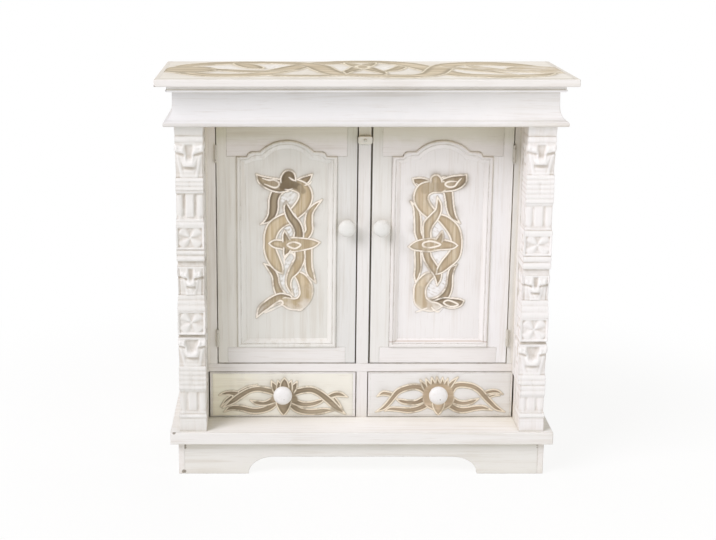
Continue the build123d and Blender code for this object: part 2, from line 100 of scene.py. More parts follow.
def times(tree, first, second):
    return maths(tree, "MULTIPLY", first, second)


def vectorMaths(tree, operation, first, second=None, scale=None, result=0):
    feeds = {0: first}
    if second is not None:
        feeds[1] = second
    if scale is not None:
        feeds["Scale"] = scale
    return addNode(tree, "ShaderNodeVectorMath", feeds, operation=operation).outputs[result]


def remap(tree, value, low, high, start=0.0, end=1.0):
    feeds = {"Value": value, "From Min": low, "From Max": high, "To Min": start, "To Max": end}
    return addNode(tree, "ShaderNodeMapRange", feeds, interpolation_type="SMOOTHSTEP").outputs["Result"]


def colour(value):
    # a socket stays what it is, and red, green and blue gain an alpha
    return value if isinstance(value, bpy.types.NodeSocket) else (*value, 1.0)


def mixColour(tree, amount, first, second, blend="MIX"):
    feeds = {"Factor": amount, 6: colour(first), 7: colour(second)}
    return addNode(tree, "ShaderNodeMix", feeds, data_type="RGBA", blend_type=blend).outputs[2]


def objectPlace(tree):
    return addNode(tree, "ShaderNodeTexCoord").outputs["Object"]


def addObject(name, data):
    item = bpy.data.objects.new(name, data)
    bpy.context.scene.collection.objects.link(item)
    return item


def addPiece(name, mesh, body, stands=()):
    piece = addObject(name, mesh)
    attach(piece, body)
    if stands:
        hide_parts(*stands)
    return piece


def tidyMesh(mesh, weld=0.00001):
    # welds doubled points, drops faces of no size and turns every face outwards
    work = bmesh.new()
    work.from_mesh(mesh)
    bmesh.ops.remove_doubles(work, verts=work.verts, dist=weld)
    bmesh.ops.dissolve_degenerate(work, edges=work.edges, dist=weld * 0.1)
    bmesh.ops.recalc_face_normals(work, faces=work.faces)
    work.to_mesh(mesh)
    work.free()
    mesh.update()


def smoothShade(mesh, angle):
    mesh.shade_smooth()
    mesh.set_sharp_from_angle(angle=math.radians(angle))


def ease(value, low, high):
    part = np.clip((value - low) / (high - low), 0, 1)
    return part * part * (3 - 2 * part)


def fall(value, low, high):
    return 1 - ease(value, low, high)


def between(value, low, full, fading, gone):
    return ease(value, low, full) * fall(value, fading, gone)


def roll(value, middle, half):
    return np.sqrt(np.clip(1 - ((value - middle) / half) ** 2, 0, 1))


# degrees between faces above which an edge stays sharp
sharpFrom = {"board": 60, "moulding": 34, "crown": 40, "knob": 50, "post": 42}


# camera

cameraLook = {
    "place": (-0.1745, -3.204, 1.2415),  # metres
    "tiltDown": 14.05,                   # degrees
    "lens": 71.9,                        # mm
    "sensor": 36.0,                      # mm
    "shiftAcross": 0.103,
    "near": 0.05,                        # metres
    "far": 60.0,
}


def makeCamera(look):
    data = bpy.data.cameras.new("frontCamera")
    data.lens = look["lens"]
    data.sensor_width = look["sensor"]
    data.shift_x = look["shiftAcross"]
    data.dof.use_dof = False
    data.clip_start = look["near"]
    data.clip_end = look["far"]
    camera = addObject("frontCamera", data)
    camera.location = look["place"]
    camera.rotation_euler = (math.radians(90 - look["tiltDown"]), 0, 0)
    bpy.context.scene.camera = camera


makeCamera(cameraLook)
print("camera made")


# studio: pale floor, white surroundings, a soft key lamp, a weak fill and a lamp above and behind

studioLook = {
    "ambient": 0.21,
    "ambientTint": (1.0, 0.97, 0.80),
    "backdrop": 1.0,
    "floorTone": (0.93, 0.925, 0.915),
    "floorRough": 0.9,
    "floorReach": 9.0,                   # metres
    "floorPlain": (0.60, 1.5),           # metres from the middle where the floor turns to plain white
    "floorGlow": 0.85,                   # how far it is plain white already in the middle
    "key": {"place": (-4.3, -3.6, 5.0), "size": 4.0, "power": 402, "tint": (1.0, 0.985, 1.045)},
    "fill": {"place": (1.9, -1.9, 1.5), "size": 1.6, "power": 21, "tint": (0.99, 0.985, 1.0)},
    "over": {"place": (0.3, 0.9, 3.2), "size": 2.2, "power": 36, "tint": (1.0, 0.985, 0.96)},
    "aim": (0.0, -0.05, 0.5),
}
white = (1, 1, 1)


def makeLamp(name, lamp, aim):
    data = bpy.data.lights.new(name, "AREA")
    data.shape = "SQUARE"
    data.size = lamp["size"]
    data.energy = lamp["power"]
    data.color = lamp["tint"]
    holder = addObject(name, data)
    holder.location = lamp["place"]
    holder.rotation_euler = (Vector(aim) - Vector(lamp["place"])).to_track_quat("-Z", "Y").to_euler()


def mixShaders(tree, amount, first, second):
    both = addNode(tree, "ShaderNodeMixShader", {0: amount})
    tree.links.new(first.outputs[0], both.inputs[1])
    tree.links.new(second.outputs[0], both.inputs[2])
    return both.outputs[0]


def floorMaterial(look):
    # pale and lit near the cabinet, plain white further out
    material = bpy.data.materials.new("studioFloor")
    material.use_nodes = True
    tree = material.node_tree
    shader = tree.nodes["Principled BSDF"]
    shader.inputs["Base Color"].default_value = colour(look["floorTone"])
    shader.inputs["Roughness"].default_value = look["floorRough"]
    away = vectorMaths(tree, "LENGTH", objectPlace(tree), result="Value")
    plain = addNode(tree, "ShaderNodeEmission", {"Color": colour(white), "Strength": look["backdrop"]})
    far = remap(tree, away, *look["floorPlain"], look["floorGlow"], 1.0)
    tree.links.new(mixShaders(tree, far, shader, plain), tree.nodes["Material Output"].inputs["Surface"])
    return material


def makeStudio(look):
    world = bpy.data.worlds.new("studio")
    world.use_nodes = True
    tree = world.node_tree
    tree.nodes.clear()
    seen = addNode(tree, "ShaderNodeLightPath").outputs["Is Camera Ray"]
    ambient = {"Color": colour(look["ambientTint"]), "Strength": look["ambient"]}
    plain = {"Color": colour(white), "Strength": look["backdrop"]}
    ends = [addNode(tree, "ShaderNodeBackground", feeds) for feeds in (ambient, plain)]
    addNode(tree, "ShaderNodeOutputWorld", {"Surface": mixShaders(tree, seen, *ends)})
    bpy.context.scene.world = world
    for label in ("key", "fill", "over"):
        makeLamp(label + "Lamp", look[label], look["aim"])
    floor = bpy.data.meshes.new("studioFloor")
    reach = look["floorReach"]
    corners = [(-reach, -reach, 0), (reach, -reach, 0), (reach, reach, 0), (-reach, reach, 0)]
    floor.from_pydata(corners, [], [(0, 1, 2, 3)])
    floor.materials.append(floorMaterial(look))
    addObject("studioFloor", floor)
    bpy.context.scene.view_settings.view_transform = "Standard"
    bpy.context.scene.view_settings.look = "None"


makeStudio(studioLook)
print("studio made")


# finishes: each one is a wood with brush streaks along its grain, worn edges, and dirt with painted shade in
# its corners

washLook = {
    "bright": (0.83, 0.80, 0.785),
    "thin": (0.68, 0.625, 0.57),      # where the brush left less wash
    "bare": (0.40, 0.31, 0.22),       # wood that shows on rubbed edges
    "dirtAndShade": (0.46, 0.40, 0.33),       # dirt and painted shade in corners and where parts meet
    "thinAmount": 0.55,
    "edgeAmount": 0.55,
    "dirtAndShadeAmount": 0.45,
    "roughness": 0.62,
    "bump": 0.35,
    "edgeWidth": 0.0025,              # metres
    "cornerReach": 0.018,
    "shelter": (0.91, 0.885, 0.785),  # painted shade: a yellowish darkening where other parts close in overhead, as under the cornice
    "shelterAmount": 0.9,
    "paintedShadeReach": 0.16,
    "chip": (0.33, 0.295, 0.255),     # old wood that shows in chips
    "gap": (),                        # the colour painted into its tight gaps, where a board has any: painted shade beside the mullion, painted light at the hinges
    "gapReach": 0.012,
    "chips": (),                      # places and sizes in metres
    "drift": (),                      # tints that come in along an axis between two places in metres
}
# doors: painted shade, darker and yellower towards the top where the cornice shades them
doorWash = dict(washLook, dirtAndShadeAmount=0.32, drift=[("Z", (0.86, 0.875, 0.79), 0.733, 0.768)])

bareLook = dict(
    washLook, bright=(0.60, 0.47, 0.33), thin=(0.50, 0.375, 0.25), bare=(0.36, 0.26, 0.17),
    dirtAndShade=(0.27, 0.20, 0.14), thinAmount=0.9, edgeAmount=0.3, dirtAndShadeAmount=0.5, roughness=0.72, bump=0.5)

knobLook = dict(
    washLook, bright=(0.86, 0.83, 0.80), thin=(0.72, 0.67, 0.61), thinAmount=0.4, edgeAmount=0.25,
    dirtAndShadeAmount=0.75, roughness=0.48, bump=0.2)

latchLook = dict(
    washLook, bright=(0.80, 0.785, 0.72), thin=(0.66, 0.61, 0.50), thinAmount=0.7, edgeAmount=0.45,
    dirtAndShadeAmount=0.35, roughness=0.6)

# noises: scale, detail, roughness and distortion; spans: the values where a mask starts and where it is full
brushLook = {
    "streak": (1.0, 5.0, 0.62, 0.4),
    "hair": (1.0, 3.0, 0.6),
    "cloud": (5.5, 3.0, 0.5),
    "patch": (30.0, 5.0, 0.6),
    "streakShare": 0.62,              # the streaks' and the clouds' part in the thin places
    "cloudShare": 0.38,
    "thinSpan": (0.49, 0.66),
    "hairSpan": (0.56, 0.74),
    "hairAmount": 0.16,               # in the plain wash
    "edgeSpan": (0.01, 0.16),
    "rubbedSpan": (0.47, 0.62),
    "cornerSpan": (0.28, 0.85),
    "cornerPatch": (0.35, 0.65, 0.45, 1.0),
    "gapSpan": (0.4, 0.7),
    "chipRagged": 3.0,                # in chip sizes
    "chipStart": 0.55,
    "driftRagged": 0.9,               # in lengths of the drift
    "paintedShadeSpan": (0.35, 0.85),
    "carvedPatch": (0.36, 0.6, 0.35, 1.0),
    "glossSpan": (0.3, 0.7),
    "glossier": 0.06,
    "rougher": 0.08,
    "specular": 0.35,
    "streakRelief": 0.7,
    "hairRelief": 0.3,
    "reliefHeight": 0.0006,           # metres
}


def stretched(cross, along):
    return {"upright": (cross, cross, along), "across": (along, cross, cross), "deep": (cross, along, cross)}


grainStretch = stretched(95, 3.2)
fineStretch = stretched(420, 16)


def startMaterial(name):
    material = bpy.data.materials.new(name)
    material.use_nodes = True
    tree = material.node_tree
    tree.nodes.clear()
    shader = addNode(tree, "ShaderNodeBsdfPrincipled")
    addNode(tree, "ShaderNodeOutputMaterial", {"Surface": shader.outputs["BSDF"]})
    return material, tree, shader


def noiseField(tree, place, scale, detail, rough, wander=0.0):
    feeds = {"Vector": place, "Scale": scale, "Detail": detail, "Roughness": rough, "Distortion": wander}
    return addNode(tree, "ShaderNodeTexNoise", feeds).outputs["Fac"]


def woodFields(tree, grain):
    # the streaks, fine hairs, clouds and patches that every wood finish mixes from
    place = objectPlace(tree)
    wide = addNode(tree, "ShaderNodeMapping", {"Vector": place, "Scale": grainStretch[grain]}).outputs[0]
    fine = addNode(tree, "ShaderNodeMapping", {"Vector": place, "Scale": fineStretch[grain]}).outputs[0]
    places = {"streak": wide, "hair": fine, "cloud": place, "patch": place}
    fields = {label: noiseField(tree, where, *brushLook[label]) for label, where in places.items()}
    return dict(fields, place=place)


def layerOf(tree, label):
    return addNode(tree, "ShaderNodeAttribute", attribute_name=label).outputs["Fac"]


def closedIn(tree, reach, samples=4):
    shade = addNode(tree, "ShaderNodeAmbientOcclusion", {"Distance": reach}, samples=samples)
    return minus(tree, 1.0, shade.outputs["AO"])


def edgeMask(tree, look, patch):
    # how far the rounded normal leaves the true one tells where an edge is
    soft = addNode(tree, "ShaderNodeBevel", {"Radius": look["edgeWidth"]}, samples=4).outputs["Normal"]
    flat = addNode(tree, "ShaderNodeNewGeometry").outputs["Normal"]
    lost = minus(tree, 1.0, vectorMaths(tree, "DOT_PRODUCT", soft, flat, result="Value"))
    near = remap(tree, lost, *brushLook["edgeSpan"])
    return soft, times(tree, near, remap(tree, patch, *brushLook["rubbedSpan"]))


def cornerMask(tree, look, patch):
    closed = remap(tree, closedIn(tree, look["cornerReach"], 6), *brushLook["cornerSpan"])
    return times(tree, closed, remap(tree, patch, *brushLook["cornerPatch"]))


def raggedness(tree, fields, reach):
    return times(tree, minus(tree, fields["patch"], 0.5), reach)


def paintWood(tree, look, fields):
    # wash colour, thin streaks, rubbed edges, chips, dirt and painted shade in corners, painted shade in
    # tight gaps on some boards and painted light on others, tints along an axis, painted shade where parts
    # close in overhead, darker hollows and lighter ridges; gives the colour and the soft normal
    brush = brushLook
    mixed = plus(tree, times(tree, fields["streak"], brush["streakShare"]),
                 times(tree, fields["cloud"], brush["cloudShare"]))
    thin = remap(tree, mixed, *brush["thinSpan"], 0.0, look["thinAmount"])
    base = mixColour(tree, thin, look["bright"], look["thin"])
    hairAmount = brush["hairAmount"] * look["thinAmount"] / washLook["thinAmount"]
    hairs = remap(tree, fields["hair"], *brush["hairSpan"], 0.0, hairAmount)
    base = mixColour(tree, hairs, base, look["bare"])
    soft, edges = edgeMask(tree, look, fields["patch"])
    base = mixColour(tree, times(tree, edges, look["edgeAmount"]), base, look["bare"])
    # dirt and painted shade: darker in corners and where parts meet, found by occlusion
    corners = cornerMask(tree, look, fields["patch"])
    base = mixColour(tree, times(tree, corners, look["dirtAndShadeAmount"]), base, look["dirtAndShade"])
    # the board's gap colour painted into its tight gaps: painted shade beside the mullion, painted light at
    # the hinges
    if look["gap"]:
        tight = remap(tree, closedIn(tree, look["gapReach"]), *brush["gapSpan"])
        base = mixColour(tree, tight, base, look["gap"])
    for spot, reach in look["chips"]:
        away = vectorMaths(tree, "DISTANCE", fields["place"], spot, result="Value")
        ragged = plus(tree, away, raggedness(tree, fields, brush["chipRagged"] * reach))
        chipped = remap(tree, ragged, brush["chipStart"] * reach, reach, 1.0, 0.0)
        base = mixColour(tree, chipped, base, look["chip"])
    for axis, tint, low, high in look["drift"]:
        level = addNode(tree, "ShaderNodeSeparateXYZ", {0: fields["place"]}).outputs[axis]
        ragged = plus(tree, level, raggedness(tree, fields, brush["driftRagged"] * abs(high - low)))
        base = mixColour(tree, remap(tree, ragged, low, high), base, tint, "MULTIPLY")
    # painted shade: darker and yellower wherever the surroundings close in, most under the cornice
    paintedShadeMask = closedIn(tree, look["paintedShadeReach"])
    paintedShadeMask = remap(tree, paintedShadeMask, *brush["paintedShadeSpan"], 0.0, look["shelterAmount"])
    base = mixColour(tree, paintedShadeMask, base, look["shelter"], "MULTIPLY")
    # darker in the hollow layer and lighter in the ridge layer: on the posts, painted shade in the hollows
    # and a painted highlight on the ridges; on carved boards, the stain round the bands and the darker deep
    # tool marks, and chalk on raised marks
    for label in ("hollow", "ridge"):
        if label in look:
            depth = times(tree, layerOf(tree, label), remap(tree, fields["patch"], *brush["carvedPatch"]))
            base = mixColour(tree, times(tree, depth, look[label + "Amount"]), base, look[label])
    return base, soft


def finishWood(tree, shader, look, fields, base, soft):
    brush = brushLook
    tree.links.new(base, shader.inputs["Base Color"])
    smooth, dull = look["roughness"] - brush["glossier"], look["roughness"] + brush["rougher"]
    rough = remap(tree, fields["streak"], *brush["glossSpan"], smooth, dull)
    tree.links.new(rough, shader.inputs["Roughness"])
    shader.inputs["Specular IOR Level"].default_value = brush["specular"]
    relief = plus(tree, times(tree, fields["streak"], brush["streakRelief"]),
                  times(tree, fields["hair"], brush["hairRelief"]))
    feeds = {"Height": relief, "Normal": soft, "Distance": brush["reliefHeight"], "Strength": look["bump"]}
    tree.links.new(addNode(tree, "ShaderNodeBump", feeds).outputs["Normal"], shader.inputs["Normal"])


def woodMaterial(name, look, grain):
    material, tree, shader = startMaterial(name)
    fields = woodFields(tree, grain)
    base, soft = paintWood(tree, look, fields)
    finishWood(tree, shader, look, fields, base, soft)
    return material


ironLook = {
    "dark": (0.10, 0.09, 0.085),
    "rust": (0.26, 0.17, 0.11),
    "paint": (0.60, 0.57, 0.50),
    "speck": (260.0, 4.0, 0.6),
    "patch": (70.0, 4.0, 0.6),
    "rustSpan": (0.45, 0.65),
    "paintSpan": (0.28, 0.42),
    "gloss": (0.3, 0.7, 0.45, 0.75),
    "bump": 0.4,
    "bumpHeight": 0.0004,             # metres
}


def ironMaterial(look):
    # dark hinges, a little rusty, with wash left on their faces
    material, tree, shader = startMaterial("agedIron")
    place = objectPlace(tree)
    speck = noiseField(tree, place, *look["speck"])
    base = mixColour(tree, remap(tree, speck, *look["rustSpan"]), look["dark"], look["rust"])
    washed = remap(tree, noiseField(tree, place, *look["patch"]), *look["paintSpan"])
    base = mixColour(tree, washed, base, look["paint"])
    tree.links.new(base, shader.inputs["Base Color"])
    tree.links.new(minus(tree, 1.0, washed), shader.inputs["Metallic"])
    tree.links.new(remap(tree, speck, *look["gloss"]), shader.inputs["Roughness"])
    feeds = {"Height": speck, "Strength": look["bump"], "Distance": look["bumpHeight"]}
    tree.links.new(addNode(tree, "ShaderNodeBump", feeds).outputs["Normal"], shader.inputs["Normal"])
    return material


steelLook = {
    "clean": (0.56, 0.55, 0.53),
    "dull": (0.33, 0.31, 0.29),
    "speck": (500.0, 3.0, 0.6),
    "dullSpan": (0.4, 0.65),
    "gloss": (0.3, 0.7, 0.3, 0.55),
}


def steelMaterial(look):
    material, tree, shader = startMaterial("dullSteel")
    speck = noiseField(tree, objectPlace(tree), *look["speck"])
    base = mixColour(tree, remap(tree, speck, *look["dullSpan"]), look["clean"], look["dull"])
    tree.links.new(base, shader.inputs["Base Color"])
    shader.inputs["Metallic"].default_value = 1.0
    tree.links.new(remap(tree, speck, *look["gloss"]), shader.inputs["Roughness"])
    return material


slotLooks = {
    "whitewashed_wood": ("whitewash", washLook),
    "door_wood": ("doorWash", doorWash),
    "bare_wood": ("insideWood", bareLook),
    "knob_wood": ("knobWash", knobLook),
    "latch_wood": ("latchWood", latchLook),
}
finishes = {}
for grainName in grainStretch:
    for slot, (label, look) in slotLooks.items():
        finishes[slot, grainName] = woodMaterial(label + "_" + grainName, look, grainName)

# painted light and shade: each board's wash is made lighter or darker to stand in for how the light falls on
# it, darker towards the left and lighter towards the right; some have chipped corners
boardLightAndShade = {
    "top_board": (0.89, 0.88, 0.835),
    "face_stiles": (0.945, 0.965, 0.965),
    "left_door_lock_stile": (0.89, 0.91, 0.90),
    "right_door_lock_stile": (0.95, 0.965, 0.95),
    "right_door_hinge_stile": (1.10, 1.12, 1.15),
    "left_door_hinge_stile": (0.99, 1.0, 0.96),
    "left_door_bottom_rail": (0.97, 0.975, 0.97),
    "mullion": (0.96, 0.97, 0.965),
    "base_board": (1.0, 1.01, 1.0),
    "bed_moulding": (1.12, 1.145, 1.19),
    "skirt_front": (0.965, 0.98, 0.97),
}
# painted light and shade along an axis: the top's upper face darker near its front and its front face
# lighter, the left face stile lighter, painted shadow on the edges beside the mullion, the base board's upper
# face lighter behind its front, and painted shade on the bed moulding's upper part under the top
paintedEdgeShadow = (0.30, 0.28, 0.25)
boardLightAndShadeDrifts = {
    "top_board": [("Y", (0.925, 0.925, 0.90), -0.162, -0.168),
                  ("Y", (1.173, 1.189, 1.267), -0.1875, -0.1892)],
    "face_stiles": [("X", (1.09, 1.07, 1.06), 0.1, -0.1)],
    "mullion": [("X", paintedEdgeShadow, 0.0174, 0.0182), ("X", paintedEdgeShadow, -0.0092, -0.0097)],
    "left_door_lock_stile": [("X", paintedEdgeShadow, -0.0128, -0.0123)],
    "right_door_lock_stile": [("X", paintedEdgeShadow, 0.0226, 0.0218)],
    "base_board": [("Y", (1.10, 1.11, 1.12), -0.169, -0.158)],
    "bed_moulding": [("Z", (0.93, 0.93, 0.93), 0.8758, 0.8778)],
}
boardChips = {
    "top_board": [((-0.4495, -0.19, 0.885), 0.003)],
    "base_board": [((-0.4225, -0.169, 0.104), 0.005)],
    "skirt_front": [((-0.401, -0.154, 0.005), 0.004)] + [
        ((side * 0.399, -0.154, level), 0.0028) for side in (-1, 1) for level in (0.073, 0.068, 0.063)],
    "skirt_sides": [((-0.404, -0.154, 0.005), 0.005)],
}
# painted shade in the gaps between the doors and the mullion, and painted light in the gaps at the hinges,
# which lie in shade
paintedGapShade = (0.05, 0.04, 0.03)
paintedGapLight = (0.97, 0.95, 0.90)
boardGaps = {
    **dict.fromkeys(("mullion", "left_door_lock_stile", "right_door_lock_stile"), paintedGapShade),
    **dict.fromkeys(("face_stiles", "left_door_hinge_stile", "right_door_hinge_stile"), paintedGapLight),
}
boardChanges = {"bed_moulding": {"dirtAndShadeAmount": 0.15}}


def tinted(look, tint, **changes):
    shades = {key: tuple(a * b for a, b in zip(look[key], tint)) for key in ("bright", "thin")}
    return dict(look, **shades, **changes)


ironFinish = ironMaterial(ironLook)
steelFinish = steelMaterial(steelLook)
screwPaint = woodMaterial("screwPaint", tinted(latchLook, (0.88, 0.89, 0.87)), "deep")


def grainOf(name):
    # boards run along their longest side; a row of boards or both stiles run upright, and pairs of sides,
    # guides or cleats run from front to back
    low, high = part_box(name)
    size = high - low
    uprights = ("stile", "side_frame", "side_panel", "back_boards", "door_panel", "post", "moulding")
    if any(word in name for word in uprights) and "bed" not in name and "flare" not in name:
        return "upright"
    longest = max(range(3), key=lambda axis: size[axis])
    if any(word in name for word in ("sides", "guides", "cleats")):
        longest = 1
    return ("across", "deep", "upright")[longest]


def boardLook(name):
    wash = doorWash if "door_" in name or name == "mullion" else washLook
    changes = {"gap": boardGaps.get(name, ()), "chips": boardChips.get(name, ()),
               "drift": list(wash["drift"]) + boardLightAndShadeDrifts.get(name, []), **boardChanges.get(name, {})}
    return tinted(wash, boardLightAndShade.get(name, white), **changes)


def finishNode(name):
    slot = slotOfNode[name]
    if name == "turn_button_screw":
        return screwPaint
    if slot == "iron":
        return ironFinish
    if slot == "steel":
        return steelFinish
    if name in boardLightAndShade or name in boardChips or name in boardGaps:
        return woodMaterial("whitewash_" + name, boardLook(name), grainOf(name))
    if slot == "carved_wood":
        slot = "whitewashed_wood"
    if slot == "whitewashed_wood" and "door_" in name:
        slot = "door_wood"
    return finishes[slot, grainOf(name)]


for nodeName, node in nodes.items():
    node.data.materials.clear()
    node.data.materials.append(finishNode(nodeName))
print("finishes given to", len(nodes), "parts")


# node trees that grow a mesh from a path

def startTree(name, inputs):
    tree = bpy.data.node_groups.new(name, "GeometryNodeTree")
    tree.interface.new_socket("Geometry", in_out="INPUT", socket_type="NodeSocketGeometry")
    for label, kind in inputs.items():
        tree.interface.new_socket(label, in_out="INPUT", socket_type="NodeSocket" + kind)
    tree.interface.new_socket("Geometry", in_out="OUTPUT", socket_type="NodeSocketGeometry")
    return tree, addNode(tree, "NodeGroupInput").outputs


def endTree(tree, shape, material):
    solid = addNode(tree, "GeometryNodeRealizeInstances", {"Geometry": shape})
    painted = addNode(tree, "GeometryNodeSetMaterial", {"Geometry": solid.outputs[0], "Material": material})
    addNode(tree, "NodeGroupOutput", {"Geometry": painted.outputs[0]})
    return tree


def growMesh(name, source, tree, inputs):
    # runs the tree on the source and gives back the plain mesh it makes
    holder = addObject(name, source)
    modifier = holder.modifiers.new("grow", "NODES")
    modifier.node_group = tree
    for item in tree.interface.items_tree:
        if item.in_out == "INPUT" and item.name in inputs:
            modifier[item.identifier] = inputs[item.name]
    graph = bpy.context.evaluated_depsgraph_get()
    mesh = bpy.data.meshes.new_from_object(holder.evaluated_get(graph), depsgraph=graph)
    bpy.data.objects.remove(holder)
    return mesh


def fieldOf(tree, label, kind="FLOAT"):
    return addNode(tree, "GeometryNodeInputNamedAttribute", {"Name": label}, data_type=kind).outputs[0]


def keepField(tree, shape, label, value, kind="FLOAT"):
    feeds = {"Geometry": shape, "Name": label, "Value": value}
    return addNode(tree, "GeometryNodeStoreNamedAttribute", feeds, data_type=kind).outputs[0]


# carved boards: an ornament is a list of bands, chains of points (across, up, half width) in mm from the
# board's middle. Cream edges run round a tan face and a later band lies over the earlier ones; a plain one
# has no edges and hides a joint; a line is a loose cream ridge. Tone, 0 light to 1 dark, and wear follow.

carveLook = {
    "fine": 1.15,         # mm between grid points in the carving
    "coarse": 7.0,        # and outside it
    "rise": 1.4,          # the tan faces stand this far above the ground
    "bead": 3.3,          # width of the cream edges
    "beadHeight": 0.8,
    "overhang": 1.3,      # how far the edges stand outside the drawn width
    "foot": 1.3,          # slope from the edge down to the ground
    "line": 1.9,          # half width of a loose line
    "lineEnd": 0.45,      # how much of it is left at a free end
    "soft": 1.0,          # how gently one finish turns into the next
    "gouge": 0.32,        # depth of the tool marks in the holes
    "shading": 0.22,      # painted shade: how much darker a band is at its edges, so that it looks rounded
    "shadingStart": 0.5,  # mm in from the cream edge where that starts to fade
    "shadingReach": 6.5,
    "shadingSwing": 1.6,  # past 1 the band's middle gets a painted highlight, lighter than its tone
    "stain": 6.5,         # mm over which the brown stain round the bands fades
    "stainHigh": 1.0,     # its strength at the top and at the bottom
    "stainLow": 0.35,
    "stainSpan": (-60, 90),
    "wornSpan": (-95, -150),  # heights between which the foot of the carving gets more worn
    "rim": 0.0,           # mm over which a laid-on plate thins out
    "rimRise": 0.09,      # the plate's height at its middle, in rims
    "under": 7.3,         # mm from the ground to the back
}
# dark lines along the bands: grime with painted shadow at the feet of edges and loose lines and in the crease
# inside each bead; place and width in softnesses, and strength
besideLine = (-1.4, 0.9, 0.55)
outsideEdge = (-1.2, 0.9, 0.75)
insideEdge = (0.5, 1.4, 0.6)
# where the finishes of a band start and are full, in softnesses from its edge or from its bead's inner side
lineRise = -0.4
bandSpans = {
    "lineCream": (-0.5, 0.5),
    "lineClean": (-0.6, 0.2),
    "beadCream": (-0.6, 0.3),
    "beadEnd": (-0.7, 0.4),
    "grimeAndShadow": (-0.5, 0.5),
    "plain": (0.0, 5.0),
}
bandMargin = 22           # mm round a band that its marks can reach
farAway = 99.0            # mm, beyond any mark
usualTone = 0.2
# the ground: tool marks in the holes between the bands, and the stain round the bands
groundLook = {
    "holeFull": 0.6,      # share of a hole's reach where the marks are at full depth
    "stainPlain": 0.2,
    "stainClouds": 1.1,
    "stainLost": 0.6,     # how much less of it there is in the holes
    "chalkAway": (0.8, 3.0),
    "chalkMarks": (-0.5, 0.3),
    "darkMarks": (0.1, 0.8),
    "darkAmount": 0.55,
    "fadeWorn": 0.55,
}
markLook = {
    "gouges": 7,          # how many waves cross
    "gougePitch": (0.45, 1.1),
    "bend": 2.2,
    "bendPitch": (0.05, 0.16),
    "gougeScale": 4,
    "clouds": 6,
    "cloudPitch": (0.04, 0.15),
    "cloudScale": 4.5,
    "phase": 6.3,
}


def smoothPath(points, pieces=6):
    # a curve through the points, joined end to start when those meet
    chain = np.array(points, float)
    if np.allclose(chain[0], chain[-1]):
        chain = np.concatenate([chain[-2:-1], chain, chain[1:2]])
    else:
        chain = np.concatenate([[2 * chain[0] - chain[1]], chain, [2 * chain[-1] - chain[-2]]])
    samples = []
    for before, start, end, after in zip(chain, chain[1:], chain[2:], chain[3:]):
        for part in np.arange(pieces) / pieces:
            square = (2 * before - 5 * start + 4 * end - after) * part ** 2
            cube = (3 * start - before - 3 * end + after) * part ** 3
            samples.append(start + ((end - before) * part + square + cube) / 2)
    samples = np.array(samples + [chain[-2]])
    samples[:, 2] = np.maximum(samples[:, 2], 0)
    return samples


def strokePath(points, look):
    # a point without a width belongs to a loose line, which tapers at its free ends
    if len(points[0]) == 3:
        return smoothPath(points)
    free = points[0] != points[-1]
    ends = (0, len(points) - 1)
    return smoothPath([(x, z, look["line"] * (look["lineEnd"] if free and index in ends else 1))
                       for index, (x, z) in enumerate(points)])


def edgeDistance(across, up, path):
    # mm from each place to the band's edge, below zero inside the band
    nearest = np.full(across.shape, farAway)
    for start, end in zip(path, path[1:]):
        step = end[:2] - start[:2]
        along = ((across - start[0]) * step[0] + (up - start[1]) * step[1]) / max(step @ step, 1e-6)
        along = np.clip(along, 0, 1)
        away = np.hypot(across - start[0] - along * step[0], up - start[1] - along * step[1])
        nearest = np.minimum(nearest, away - start[2] - along * (end[2] - start[2]))
    return nearest


def darkLine(depth, soft, place, width, strength):
    return np.exp(-((depth / soft - place) / width) ** 2) * strength


def softly(depth, soft, label):
    start, full = bandSpans[label]
    return ease(depth, start * soft, full * soft)


